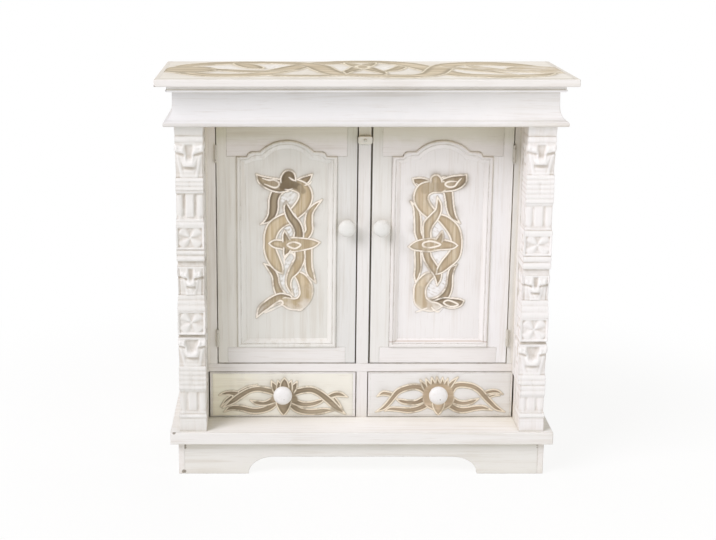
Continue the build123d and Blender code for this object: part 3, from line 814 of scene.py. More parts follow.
def carveBands(across, up, strokes, look):
    # paints the bands one over another into fields of height and finish
    field = {name: np.zeros(across.shape) for name in ("height", "inside", "cream", "grimeAndShadow", "tone", "worn")}
    field["away"] = np.full(across.shape, farAway)
    bead, soft = look["bead"], look["soft"]
    for kind, points, *finish in strokes:
        tone, worn = (finish + [usualTone, 0.0][len(finish):])[:2]
        path = strokePath(points, look)
        reach = path[:, 2].max() + bandMargin
        low, high = path[:, :2].min(0) - reach, path[:, :2].max(0) + reach
        near = (across > low[0]) & (across < high[0]) & (up > low[1]) & (up < high[1])
        depth = -edgeDistance(across[near], up[near], path)
        if kind == "line":
            field["height"][near] += ease(depth, lineRise * soft, look["line"]) * look["beadHeight"]
            field["cream"][near] = np.maximum(field["cream"][near], softly(depth, soft, "lineCream"))
            # grime with painted shadow beside a loose line
            kept = field["grimeAndShadow"][near] * (1 - softly(depth, soft, "lineClean"))
            field["grimeAndShadow"][near] = np.maximum(kept, darkLine(depth, soft, *besideLine))
            continue
        if kind == "plain":
            values = {"height": look["rise"], "inside": 1.0, "cream": 0.0, "grimeAndShadow": 0.0}
            mask = softly(depth, soft, "plain")
            shaded = 0.0
        else:
            depth = depth + look["overhang"]
            past = depth - bead
            cream = softly(depth, soft, "beadCream") * (1 - softly(past, soft, "beadEnd"))
            # grime with painted shade in the crease just inside the bead
            place, width, strength = insideEdge
            darkened = np.exp(-np.abs(past / soft - place) / width) * strength
            darkened = darkened * softly(past, soft, "grimeAndShadow")
            values = {"height": look["rise"] + look["beadHeight"] * roll(depth, bead / 2, bead / 2),
                      "inside": 1.0, "cream": cream, "grimeAndShadow": darkened}
            inwards = ease(past, look["shadingStart"], look["shadingReach"])
            shaded = look["shading"] * (1 - inwards * look["shadingSwing"])
            mask = ease(depth, -look["foot"], 0.0)
            # grime with painted shadow at the foot of the edge, outside it
            field["grimeAndShadow"][near] = np.maximum(field["grimeAndShadow"][near], darkLine(depth, soft, *outsideEdge))
        values.update(tone=np.clip(tone + shaded, 0, 1), worn=worn)
        for name, value in values.items():
            field[name][near] = field[name][near] * (1 - mask) + value * mask
        field["away"][near] = np.minimum(field["away"][near], -depth)
    return field


def slantedWave(across, up, turn, pitch, shift):
    return np.sin((across * math.cos(turn) + up * math.sin(turn)) * pitch + shift)


def toolMarks(across, up, seed, look):
    # short crossing gouges as a sum of slanted waves, and broad clouds as slow ones
    dice = np.random.default_rng(seed)
    marks = np.zeros(across.shape)
    for _ in range(look["gouges"]):
        turn, pitch = dice.uniform(0, math.pi), dice.uniform(*look["gougePitch"])
        bend = across * dice.uniform(*look["bendPitch"]) + up * dice.uniform(*look["bendPitch"])
        bend = look["bend"] * np.sin(bend)
        marks += slantedWave(across, up, turn, pitch, bend + dice.uniform(0, look["phase"]))
    clouds = np.zeros(across.shape)
    for _ in range(look["clouds"]):
        turn, pitch = dice.uniform(0, math.pi), dice.uniform(*look["cloudPitch"])
        clouds += slantedWave(across, up, turn, pitch, dice.uniform(0, look["phase"]))
    return marks / look["gougeScale"], np.clip(0.5 + clouds / look["cloudScale"], 0, 1)


def gridLines(low, fineLow, fineHigh, high, look):
    # close lines over the carving and wide ones on both sides of it
    before = np.linspace(low, fineLow, int((fineLow - low) / look["coarse"]) + 2)[:-1]
    after = np.linspace(fineHigh, high, int((high - fineHigh) / look["coarse"]) + 2)[1:]
    close = np.linspace(fineLow, fineHigh, int((fineHigh - fineLow) / look["fine"]) + 1)
    return np.concatenate([before, close, after])


def boardMesh(name, across, up, height, layers, under, material):
    # the carved face with walls down to a flat back
    rows, wide = across.shape
    top = np.stack([across, up, height], -1).reshape(-1, 3)
    ids = np.arange(rows * wide).reshape(rows, wide)
    quads = np.stack([ids[:-1, :-1], ids[:-1, 1:], ids[1:, 1:], ids[1:, :-1]], -1).reshape(-1, 4).tolist()
    border = ids[0].tolist() + ids[1:, -1].tolist() + ids[-1, -2::-1].tolist() + ids[-2:0:-1, 0].tolist()
    back = top[border].copy()
    back[:, 2] = -under
    first = rows * wide
    total = len(border)
    walls = [(border[i], first + i, first + (i + 1) % total, border[(i + 1) % total]) for i in range(total)]
    mesh = bpy.data.meshes.new(name)
    faces = quads + walls + [[first + i for i in range(total)][::-1]]
    mesh.from_pydata((np.concatenate([top, back]) * mm).tolist(), [], faces)
    for label, values in layers.items():
        spread = np.concatenate([values.reshape(-1), np.zeros(total)])
        mesh.attributes.new(label, "FLOAT", "POINT").data.foreach_set("value", spread)
    mesh.materials.append(material)
    return mesh


def groundLayers(across, up, field, carving, look, ground):
    # tool marks and chalk in the holes, a brown stain round the bands, and wear towards the bottom
    marks, clouds = toolMarks(across, up, carving["seed"], markLook)
    outside = 1 - field["inside"]
    away = np.clip(field["away"], 0, None)
    holes = np.zeros(across.shape)
    for x, z, reach in carving["holes"]:
        holes = np.maximum(holes, ease(-np.hypot(across - x, up - z), -reach, -reach * ground["holeFull"]))
    holes = holes * outside
    strength = look["stainLow"] + (look["stainHigh"] - look["stainLow"]) * ease(up, *look["stainSpan"])
    stain = np.exp(-away / look["stain"]) * (ground["stainPlain"] + ground["stainClouds"] * clouds)
    stain = stain * strength * (1 - ground["stainLost"] * holes)
    dark = holes * ease(-marks, *ground["darkMarks"]) * ground["darkAmount"]
    fade = ease(-up, -look["wornSpan"][0], -look["wornSpan"][1])
    layers = {name: field[name] for name in ("inside", "cream", "grimeAndShadow", "tone")}
    layers["worn"] = np.clip(field["worn"] + ground["fadeWorn"] * fade, 0, 1)
    layers["ridge"] = holes * ease(away, *ground["chalkAway"]) * ease(marks, *ground["chalkMarks"])
    layers["hollow"] = np.clip(np.maximum(stain, dark), 0, 1) * outside
    return marks * holes, layers


def carveBoard(name, grid, carving, look, material, body, place, turn, stands=()):
    across, up = grid
    field = carveBands(across, up, carving["strokes"], look)
    cuts, layers = groundLayers(across, up, field, carving, look, groundLook)
    rim = np.minimum.reduce([across - across.min(), across.max() - across, up - up.min(0), up.max(0) - up])
    flat = ease(rim, 0, look["rim"]) if look["rim"] else 1.0
    height = (field["height"] + look["gouge"] * cuts + look["rim"] * look["rimRise"]) * flat
    mesh = boardMesh(name, across, up, height, layers, look["under"], material)
    mesh.transform(Matrix.Translation(Vector(place)) @ turn)
    tidyMesh(mesh)
    smoothShade(mesh, sharpFrom["board"])
    return addPiece(name, mesh, body, stands)


tanLook = {
    "tan": (0.54, 0.42, 0.265),
    "tanLight": (0.68, 0.575, 0.415),
    "tanDark": (0.15, 0.11, 0.065),
    "cream": (0.93, 0.855, 0.765),
    "washed": (0.77, 0.72, 0.665),
    # grime with painted shadow along the bands
    "grimeAndShadow": (0.30, 0.24, 0.175),
    "grimeAndShadowAmount": 0.75,
    "washedAmount": 0.5,                  # how much of the wash lies over the tan face
    "wornAmount": 0.95,                   # and where the face is most worn
}
groundWash = dict(washLook, bright=(0.81, 0.785, 0.765), thinAmount=0.55, dirtAndShadeAmount=0.35,
                  hollow=(0.40, 0.345, 0.285), hollowAmount=0.9, ridge=(0.87, 0.86, 0.86), ridgeAmount=0.8)
# where each mask starts and is full, and what it goes from and to
rubLook = {
    "light": (0.44, 0.60),
    "uneven": (0.35, 0.65, 0.75, 1.2),
    "hairs": (0.55, 0.72, 0.0, 0.3),
    "patchReach": 1.6,                    # how far the patches move the washed places
    "washed": (0.12, 0.62),
    "wornSpan": (0.0, 0.6),
    "dark": (0.3, 1.0, 1.0, 0.25),
    "darkened": (0.35, 0.62, 0.3, 1.0),
    "chipped": (0.50, 0.66, 1.0, 0.3),
}


def carvedMaterial(name, grain, wash, look):
    # whitewashed ground; tan faces with streaks along the grain and wash rubbed over them; cream edges
    material, tree, shader = startMaterial(name)
    fields = woodFields(tree, grain)
    rub = rubLook
    tone, worn, patch = layerOf(tree, "tone"), layerOf(tree, "worn"), fields["patch"]
    ground, soft = paintWood(tree, wash, fields)
    face = mixColour(tree, remap(tree, fields["streak"], *rub["light"]), look["tan"], look["tanLight"])
    uneven = maths(tree, "MULTIPLY", tone, remap(tree, fields["cloud"], *rub["uneven"]), True)
    face = mixColour(tree, uneven, face, look["tanDark"])
    face = mixColour(tree, remap(tree, fields["hair"], *rub["hairs"]), face, look["tanDark"])
    washed = remap(tree, plus(tree, worn, raggedness(tree, fields, rub["patchReach"])), *rub["washed"])
    most = remap(tree, worn, *rub["wornSpan"], look["washedAmount"], look["wornAmount"])
    washed = times(tree, times(tree, washed, most), remap(tree, tone, *rub["dark"]))
    face = mixColour(tree, washed, face, look["washed"])
    base = mixColour(tree, layerOf(tree, "inside"), ground, face)
    # grime with painted shadow along the bands, patchy
    darkened = times(tree, layerOf(tree, "grimeAndShadow"), remap(tree, patch, *rub["darkened"]))
    base = mixColour(tree, times(tree, darkened, look["grimeAndShadowAmount"]), base, look["grimeAndShadow"])
    creamy = times(tree, layerOf(tree, "cream"), remap(tree, patch, *rub["chipped"]))
    base = mixColour(tree, creamy, base, look["cream"])
    finishWood(tree, shader, wash, fields, base, soft)
    return material


rightTan = dict(tanLook, tan=(0.55, 0.43, 0.29), tanLight=(0.69, 0.59, 0.445))
# painted shade on the left door's carved ground and painted light on the right's
leftGround = tinted(groundWash, (0.91, 0.92, 0.89))
rightGround = tinted(groundWash, (1.03, 1.03, 1.045))
carvedDoor = {
    "left": carvedMaterial("carvedLeftDoor", "upright", leftGround, tanLook),
    "right": carvedMaterial("carvedRightDoor", "upright", rightGround, rightTan),
}
drawerTan = dict(tanLook, tan=(0.50, 0.41, 0.29), tanLight=(0.64, 0.535, 0.40), cream=(0.88, 0.79, 0.65),
                 grimeAndShadow=(0.36, 0.31, 0.21))
# painted light: the left drawer lighter, most at its left end where the post's shadow falls, and without the
# painted shade; the right one with less of it
drawerWash = {
    "left": tinted(groundWash, (1.045, 1.045, 0.97), shelterAmount=0.0,
                   drift=[("X", (1.15, 1.14, 1.06), -0.20, -0.34)]),
    "right": tinted(groundWash, (1.0, 1.01, 1.01), shelterAmount=0.4),
}
drawerFaces = {
    "left": drawerTan,
    "right": dict(drawerTan, tan=(0.60, 0.475, 0.335), tanLight=(0.75, 0.61, 0.455),
                  tanDark=(0.24, 0.175, 0.115)),
}
carvedDrawer = {side: carvedMaterial("carvedDrawer_" + side, "across", wash, drawerFaces[side])
                for side, wash in drawerWash.items()}
topTan = dict(tanLook, tan=(0.53, 0.445, 0.32), tanLight=(0.71, 0.625, 0.49), tanDark=(0.30, 0.25, 0.175),
              cream=(0.80, 0.73, 0.60), grimeAndShadow=(0.46, 0.39, 0.28), grimeAndShadowAmount=0.6)
# the top's ground darker and yellower, with painted light making it lighter towards the right
topWash = tinted(groundWash, (0.965, 0.95, 0.90), drift=[("X", (1.05, 1.055, 1.07), 0.06, 0.22)])
carvedTop = carvedMaterial("carvedTop", "across", topWash, topTan)

standUp = Matrix.Rotation(math.radians(90), 4, "X")
layFlat = Matrix.Identity(4)

leftDoorStrokes = [
    ("edged", [(-52, -25, 0), (-37, -37, 6), (-27, -53, 7), (-24, -72, 7.5), (-19, -88, 9), (-8, -105, 11.5),
        (8, -117, 13.5), (28, -124, 11.5)], 0.55),
    ("edged", [(-69, -152, 0), (-58, -133, 7.5), (-44, -121, 9.5), (-29, -112, 11), (-13, -106, 11.5),
        (3, -107, 9)], 0.65),
    ("edged", [(21, -48, 7), (34, -60, 12), (43, -79, 15), (43, -100, 14), (31, -117, 13.5), (12, -120, 13),
        (-3, -115, 10)], 0.15, 0.1),
    ("plain", [(-14, -112, 8), (2, -113, 9.5), (16, -118, 10)], 0.25, 0.2),
    ("plain", [(45, -84, 13.5), (44, -104, 15), (35, -119, 13.5), (16, -123, 12)], 0.15, 0.06),
    ("edged", [(49, 12, 8), (49, -11, 8), (50, -34, 8), (55, -51, 7), (66, -70, 0)], 0.35),
    ("edged", [(29, 7, 11.5), (29, -16, 11.5), (18, -38, 11.5), (7, -55, 7.5), (4, -72, 5.5), (8, -86, 3.5),
        (15, -100, 0)], 0.3),
    ("edged", [(79, 122, 0), (63, 108, 5), (52, 93, 7), (49, 72, 8.5), (50, 51, 8), (39, 33, 8)], 0.2),
    ("edged", [(-6, 158, 15.5), (-22, 140, 11.5), (-29, 122, 11), (-30, 102, 11), (-34, 86, 9), (-46, 73, 4),
        (-59, 66, 0)], 0.65),
    ("edged", [(-68, 180, 0), (-56, 167, 9), (-38, 159, 13.5), (-18, 154, 15), (0, 154, 13)], 0.6),
    ("edged", [(18, 156, 9), (34, 163, 9.5), (46, 170, 7), (57, 180, 0)], 0.75),
    ("edged", [(3, 158, 13.5), (21, 155, 13.5), (38, 145, 14.5), (42, 127, 15.5), (33, 107, 15.5),
        (14, 87, 13.5)], 0.25),
    ("edged", [(3, 160, 15.5), (3, 168, 17), (4, 174, 15)], 1.0),
    ("plain", [(-9, 153, 11), (3, 158, 13), (16, 156, 11.5), (28, 151, 10)], 0.8),
    ("plain", [(30, 149, 9), (36, 142, 9)], 0.5),
    ("edged", [(8, 80, 13.5), (-10, 74, 14), (-28, 60, 15.5), (-36, 42, 14.5), (-38, 24, 13.5), (-37, 5, 14),
        (-29, -16, 14), (-18, -35, 9.5), (-9, -49, 0)], 0.17),
    ("edged", [(-2, 118, 0), (0, 102, 6.5), (9, 82, 9.5), (21, 66, 10.5), (27, 49, 10.5), (26, 30, 11.5)],
        0.6),
    ("edged", [(-41, 22, 0), (-26, 21, 9), (-10, 19, 10.5), (10, 19, 16), (30, 20, 14.5), (50, 21, 11.5),
        (62, 22, 7.5), (75, 24, 0)], 0.2),
    ("edged", [(-5, 52, 0), (-4, 40, 5.5), (0, 26, 9)], 0.45),
    ("edged", [(-4, -14, 0), (-2, -1, 5.5), (2, 12, 9)], 0.45),
    ("plain", [(-11, 20, 6), (1, 19, 11.5), (21, 19, 17), (37, 20, 13.5), (51, 22, 10)], 0.25),
    ("line", [(-55, 171), (-41, 167), (-28, 167), (-18, 161), (-19, 153), (-29, 150), (-50, 158)]),
    ("line", [(19, 165), (12, 168), (5, 173)]),
    ("line", [(40, 155), (50, 158), (55, 164)]),
    ("line", [(1, 18), (15, 25), (31, 19), (18, 10), (1, 18)]),
    ("line", [(-6, -26), (-5, -12), (0, -4), (9, 0), (17, -5), (18, -13), (12, -22)]),
    ("line", [(-50, -140), (-36, -126), (-15, -112), (-9, -119), (-22, -127), (-50, -140)]),
]

rightDoorStrokes = [
    ("edged", [(39, -27, 0), (28, -38, 5.5), (24, -55, 6), (23, -77, 7), (17, -95, 9), (3, -111, 10.5),
        (-18, -119, 11.5), (-36, -117, 11.5)], 0.5),
    ("edged", [(57, -112, 0), (44, -117, 9.5), (28, -118, 12), (12, -115, 10.5), (-6, -114, 4),
        (-14, -113, 0)], 0.7),
    ("edged", [(-18, -51, 8), (-30, -60, 11.5), (-42, -77, 13.5), (-44, -95, 13.5), (-40, -114, 14.5),
        (-22, -125, 12), (-6, -125, 8), (8, -125, 0)], 0.12, 0.2),
    ("plain", [(-45, -86, 12), (-44, -104, 14), (-38, -119, 14), (-20, -126, 12), (-6, -126, 9)], 0.15, 0.1),
    ("edged", [(-51, 12, 7.5), (-50, -11, 7), (-49, -34, 7), (-52, -53, 5.5), (-54, -70, 0)], 0.3),
    ("edged", [(-32, 12, 10), (-29, -9, 9.5), (-17, -30, 10), (-6, -46, 9.5), (-3, -60, 6.5), (-5, -77, 0)],
        0.35),
    ("edged", [(-69, 118, 0), (-59, 104, 4), (-54, 88, 7), (-52, 67, 7.5), (-51, 47, 7.5), (-44, 28, 8)],
        0.35),
    ("edged", [(4, 158, 15.5), (13, 143, 10.5), (17, 122, 9), (20, 102, 8.5), (27, 84, 6.5), (43, 68, 0)],
        0.5),
    ("edged", [(54, 179, 0), (42, 166, 12), (26, 160, 16.5), (8, 156, 15), (-8, 152, 12)], 0.65),
    ("edged", [(-66, 170, 0), (-54, 163, 9), (-40, 158, 12.5), (-22, 149, 11)], 0.6),
    ("edged", [(-4, 152, 13.5), (-23, 151, 13.5), (-41, 143, 16.5), (-46, 124, 16), (-38, 106, 15),
        (-22, 89, 12.5)], 0.2),
    ("edged", [(-13, 157, 13), (-13, 163, 12.5), (-14, 167, 11.5)], 0.3),
    ("plain", [(12, 154, 12), (-6, 152, 12), (-24, 152, 11.5), (-38, 145, 12)], 0.35),
    ("edged", [(-7, 84, 6.5), (10, 73, 11.5), (27, 55, 14), (35, 35, 12.5), (37, 14, 11.5), (30, -7, 14),
        (14, -25, 12), (2, -39, 8), (-8, -50, 0)], 0.25),
    ("edged", [(-10, 129, 0), (-6, 113, 5), (-7, 97, 7), (-16, 82, 10), (-28, 66, 11), (-31, 49, 9),
        (-30, 30, 9)], 0.28),
    ("edged", [(-72, 14, 0), (-59, 15, 8), (-46, 17, 12.5), (-26, 18, 15), (-5, 19, 12.5), (15, 18, 10.5),
        (27, 17, 7.5), (39, 17, 0)], 0.3),
    ("edged", [(3, 50, 0), (1, 39, 5), (-4, 26, 8)], 0.35),
    ("plain", [(-59, 17, 7), (-44, 18, 12.5), (-23, 19, 17), (-5, 19, 11.5), (8, 18, 7.5)], 0.25),
    ("line", [(43, 171), (35, 162), (28, 153), (16, 151), (7, 157), (14, 163), (32, 164)]),
    ("line", [(-51, 155), (-58, 159)]),
    ("line", [(-51, 155), (-57, 147)]),
    ("line", [(-38, 23), (-21, 27), (0, 19), (-23, 12), (-38, 15), (-38, 23)]),
    ("line", [(11, -117), (22, -111), (44, -121), (27, -126), (11, -117)]),
    ("line", [(-51, -139), (-38, -134), (-26, -129)]),
    ("line", [(-17, -127), (-10, -135), (-1, -138), (8, -130)]),
]

leftDrawerStrokes = [
    ("edged", [(-147, -1, 0), (-133, 3, 4), (-117, 3, 6), (-103, 1, 7)], 0.4),
    ("edged", [(-143, -29, 0), (-132, -16, 3), (-119, -5, 3.5)], 0.5),
    ("edged", [(-59, 24, 0), (-80, 17, 3), (-98, 6, 4.5)], 0.6),
    ("edged", [(-136, -42, 0), (-119, -32, 5), (-96, -33, 6), (-71, -39, 6.5), (-50, -38, 6.5),
        (-31, -31, 7), (-15, -18, 7)], 0.45),
    ("edged", [(-75, -14, 0), (-59, -20, 4.5), (-40, -21, 5), (-20, -13, 7)], 0.5),
    ("edged", [(-13, 4, 8), (-33, 10, 6.5), (-57, 14, 6), (-77, 10, 6), (-96, -1, 6.5), (-115, -15, 6),
        (-139, -32, 0)], 0.42),
    ("edged", [(150, -6, 0), (135, 0, 4.5), (122, 1, 5.5), (108, -4, 4.5)], 0.5),
    ("edged", [(141, -43, 0), (129, -23, 3), (119, -9, 3)], 0.55),
    ("edged", [(122, -37, 0), (96, -39, 5.5), (73, -42, 6.5), (50, -41, 6.5), (31, -34, 7), (15, -18, 7.5)],
        0.45),
    ("edged", [(100, -9, 0), (85, -17, 4.5), (66, -23, 5.5), (43, -23, 6), (20, -13, 7)], 0.5),
    ("edged", [(15, 1, 8), (40, 9, 7), (64, 12, 7), (84, 4, 7), (105, -13, 7.5), (124, -31, 6.5),
        (145, -47, 0)], 0.65),
    ("edged", [(-26, 33, 0), (-19, 19, 6.5), (-10, 4, 9)], 0.55),
    ("edged", [(-11, 34, 0), (-8, 21, 6), (-6, 4, 9)], 0.5),
    ("edged", [(33, 32, 0), (26, 18, 6.5), (15, 4, 9)], 0.6),
    ("edged", [(20, 34, 0), (16, 21, 6), (13, 4, 9)], 0.45),
    ("edged", [(4, 40, 0), (4, 26, 8.5), (4, 6, 11.5)], 0.5),
    ("edged", [(2, -52, 0), (2, -35, 10.5), (2, -16, 18.5)], 0.6),
    ("plain", [(-20, -11, 10.5), (-8, 7, 9), (4, 11, 11.5), (15, 7, 9), (27, -11, 10.5)], 0.35),
    ("line", [(-138, -1), (-126, 0), (-114, -2)]),
]

rightDrawerStrokes = [
    ("edged", [(-145, -4, 0), (-132, 3, 4.5), (-120, 2, 5), (-106, -2, 4.5)], 0.45),
    ("edged", [(-127, -40, 0), (-114, -35, 4), (-95, -36, 5), (-73, -38, 6), (-54, -35, 6), (-39, -29, 6.5),
        (-22, -18, 7)], 0.5),
    ("edged", [(-102, -10, 0), (-88, -16, 4.5), (-73, -19, 5), (-54, -19, 5.5), (-36, -11, 7)], 0.6),
    ("edged", [(-32, 11, 9), (-46, 17, 7), (-62, 19, 6), (-81, 15, 6), (-97, 7, 6), (-108, -6, 5.5),
        (-118, -20, 5), (-131, -33, 4), (-148, -42, 0)], 0.55),
    ("edged", [(145, 1, 0), (133, 7, 3.5), (120, 8, 4.5), (105, 4, 4.5)], 0.5),
    ("edged", [(138, -2, 0), (126, -1, 2.5), (113, -5, 3)], 0.6),
    ("edged", [(122, -38, 0), (101, -32, 4.5), (82, -33, 5.5), (62, -37, 6), (46, -37, 6.5), (32, -31, 6.5),
        (15, -18, 7)], 0.45),
    ("edged", [(90, -10, 0), (74, -17, 4.5), (57, -21, 5), (39, -18, 5.5), (24, -9, 7)], 0.5),
    ("edged", [(24, 11, 9), (32, 20, 7), (46, 24, 6), (62, 23, 6), (77, 19, 6), (92, 9, 6), (105, -6, 6),
        (118, -20, 5.5), (132, -33, 4.5), (151, -42, 0)], 0.6),
    ("edged", [(40, 42, 0), (30, 32, 3.5), (21, 21, 5.5)], 0.5),
    ("edged", [(-46, 35, 0), (-38, 23, 4.5), (-28, 9, 7)], 0.55),
    ("edged", [(-33, 38, 0), (-28, 26, 4.5), (-20, 11, 7)], 0.45),
    ("edged", [(-20, 41, 0), (-17, 28, 4.5), (-13, 11, 7)], 0.5),
    ("edged", [(-8, 42, 0), (-6, 28, 4.5), (-4, 11, 7)], 0.6),
    ("edged", [(5, 41, 0), (5, 28, 4.5), (4, 11, 7)], 0.55),
    ("edged", [(17, 39, 0), (14, 26, 4.5), (12, 11, 7)], 0.5),
    ("edged", [(-30, -12, 8), (-21, -22, 10), (-3, -30, 9), (15, -22, 10), (24, -12, 8)], 0.2),
    ("edged", [(-3, -50, 0), (-3, -36, 9), (-3, -24, 14)], 0.2),
    ("plain", [(-29, -18, 10.5), (-32, 1, 10.5), (-24, 17, 8.5), (-5, 23, 7), (15, 17, 8.5), (24, 1, 10.5),
        (22, -18, 10.5)], 0.15),
]


def frontMiddle(name):
    low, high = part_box(name)
    middle = (low + high) / 2
    return Vector((middle.x, low.y, middle.z))


# door mouldings: one profile swept round the arched opening

openingLook = {
    "half": 112.25,       # mm, half the opening's width
    "bottom": -221,       # from the middle of the carving
    "shoulder": 221,
    "stepStart": 88.25,   # from the middle, where the rounded step up to the arch starts and ends
    "stepEnd": 77.25,
    "step": 11,           # its height
    "bulgeDrop": 1.7,
    "archHalf": 60,
    "archRise": 25.5,
    "width": 20,
    "innerCorner": 18,    # from the shoulder down to the inner edge's corner
    "innerSteps": [(-84, 15.5), (-77, 13), (-70, 11), (-61, 9)],    # across, and down from the shoulder
    "innerDrop": 19,      # from the flat beside the arch to where its inner edge starts
    "archPoints": 17,
    "tongue": -0.059,     # metres, the panel's tongue
    "face": -0.0603,      # metres, the ground of its carving
    "level": 0.495,       # metres, the middle of the carving
    "middles": {"left": -0.16875, "right": 0.17775},
}
# share of the width from the outer edge, and height above the panel's tongue, in mm
mouldingProfile = [
    (0.0, 0.0), (0.0, 9.2), (0.015, 9.3), (0.04, 10.3), (0.08, 11.1), (0.15, 11.7), (0.23, 11.9),
    (0.31, 11.5), (0.36, 10.4), (0.39, 9.0), (0.42, 8.5), (0.45, 8.9), (0.49, 9.3), (0.54, 9.0), (0.60, 8.0),
    (0.70, 5.9), (0.80, 4.0), (0.90, 2.5), (1.0, 1.4), (1.0, 0.0),
]


def archedPath(look):
    # pairs of outer and inner points, up the left side, over the arch and down the right
    half, width, bottom, shoulder = look["half"], look["width"], look["bottom"], look["shoulder"]
    flat = shoulder + look["step"]
    radius = (look["archHalf"] ** 2 + look["archRise"] ** 2) / (2 * look["archRise"])
    centre = flat + look["archRise"] - radius
    outerTurn = math.asin(look["archHalf"] / radius)
    innerTurn = math.acos((flat - look["innerDrop"] - centre) / (radius - width))
    bulge = look["step"] * (1 - 0.5 ** 0.5)
    start, end = look["stepStart"], look["stepEnd"]
    outer = [(-half, bottom), (-half, shoulder), (-start, shoulder)]
    outer += [(-start + bulge / 2, flat - bulge * look["bulgeDrop"]), (-start + bulge, flat - bulge)]
    outer += [(-end, flat)]
    inner = [(width - half, bottom + width), (width - half, shoulder - look["innerCorner"])]
    inner += [(x, shoulder - drop) for x, drop in look["innerSteps"]]
    left = list(zip(outer, inner))
    arch = []
    for index in range(look["archPoints"]):
        turn = 2 * index / (look["archPoints"] - 1) - 1
        pair = []
        for reach, part in ((radius, outerTurn * turn), (radius - width, innerTurn * turn)):
            pair.append((reach * math.sin(part), centre + reach * math.cos(part)))
        arch.append(tuple(pair))
    right = [((-a[0], a[1]), (-b[0], b[1])) for a, b in reversed(left)]
    return left + arch + right


def sweepTree():
    tree, given = startTree("sweptMoulding", {"profile": "Object", "material": "Material"})
    drawn = addNode(tree, "GeometryNodeObjectInfo", {"Object": given["profile"]}).outputs["Geometry"]
    profile = addNode(tree, "GeometryNodeMeshToCurve", {"Mesh": drawn}).outputs[0]
    place = addNode(tree, "GeometryNodeInputPosition").outputs[0]
    parts = addNode(tree, "ShaderNodeSeparateXYZ", {0: place}).outputs
    profile = keepField(tree, profile, "share", parts["X"])
    profile = keepField(tree, profile, "rise", parts["Y"])
    path = addNode(tree, "GeometryNodeMeshToCurve", {"Mesh": given["Geometry"]}).outputs[0]
    path = keepField(tree, path, "spine", place, "FLOAT_VECTOR")
    feeds = {"Curve": path, "Profile Curve": profile, "Fill Caps": True}
    swept = addNode(tree, "GeometryNodeCurveToMesh", feeds).outputs[0]
    inward = vectorMaths(tree, "SCALE", fieldOf(tree, "inward", "FLOAT_VECTOR"), scale=fieldOf(tree, "share"))
    up = addNode(tree, "ShaderNodeCombineXYZ", {"Z": fieldOf(tree, "rise")}).outputs[0]
    spine = fieldOf(tree, "spine", "FLOAT_VECTOR")
    target = vectorMaths(tree, "ADD", spine, vectorMaths(tree, "ADD", inward, up))
    swept = addNode(tree, "GeometryNodeSetPosition", {"Geometry": swept, "Position": target}).outputs[0]
    return endTree(tree, swept, given["material"])


sweptMoulding = sweepTree()


def lineMesh(name, points, closed):
    mesh = bpy.data.meshes.new(name)
    count = len(points)
    edges = [(index, (index + 1) % count) for index in range(count if closed else count - 1)]
    mesh.from_pydata([(x, y, 0) for x, y in points], edges, [])
    return mesh


def sweep(name, path, inward, closed, profile, material, place):
    # sweeps the profile along the path; its share stays a bare number, everything else becomes metres
    mesh = lineMesh(name + "Path", [(x * mm, y * mm) for x, y in path], closed)
    flow = [value for x, y in inward for value in (x * mm, y * mm, 0)]
    mesh.attributes.new("inward", "FLOAT_VECTOR", "POINT").data.foreach_set("vector", flow)
    outline = lineMesh(name + "Profile", [(share, rise * mm) for share, rise in profile], True)
    holder = addObject(name + "Profile", outline)
    swept = growMesh(name, mesh, sweptMoulding, {"profile": holder, "material": material})
    bpy.data.objects.remove(holder)
    swept.transform(place)
    tidyMesh(swept)
    return swept


def doorMoulding(side, look, material):
    pairs = archedPath(look)
    inward = [(b[0] - a[0], b[1] - a[1]) for a, b in pairs]
    place = Matrix.Translation((look["middles"][side], look["tongue"], look["level"])) @ standUp
    path = [a for a, _ in pairs]
    swept = sweep(side + "Moulding", path, inward, True, mouldingProfile, material, place)
    smoothShade(swept, sharpFrom["moulding"])
    return addPiece(side + "_door_moulding_swept", swept, side + "_door",
                    (side + "_door_moulding",))


def panelReach(look):
    # half width, bottom and top line of the panel, half way under the moulding
    pairs = archedPath(look)
    line = sorted(((a[0] + b[0]) / 2, (a[1] + b[1]) / 2) for a, b in pairs if a[1] > 0)
    return look["half"] - look["width"] / 2, look["bottom"] + look["width"] / 2, line


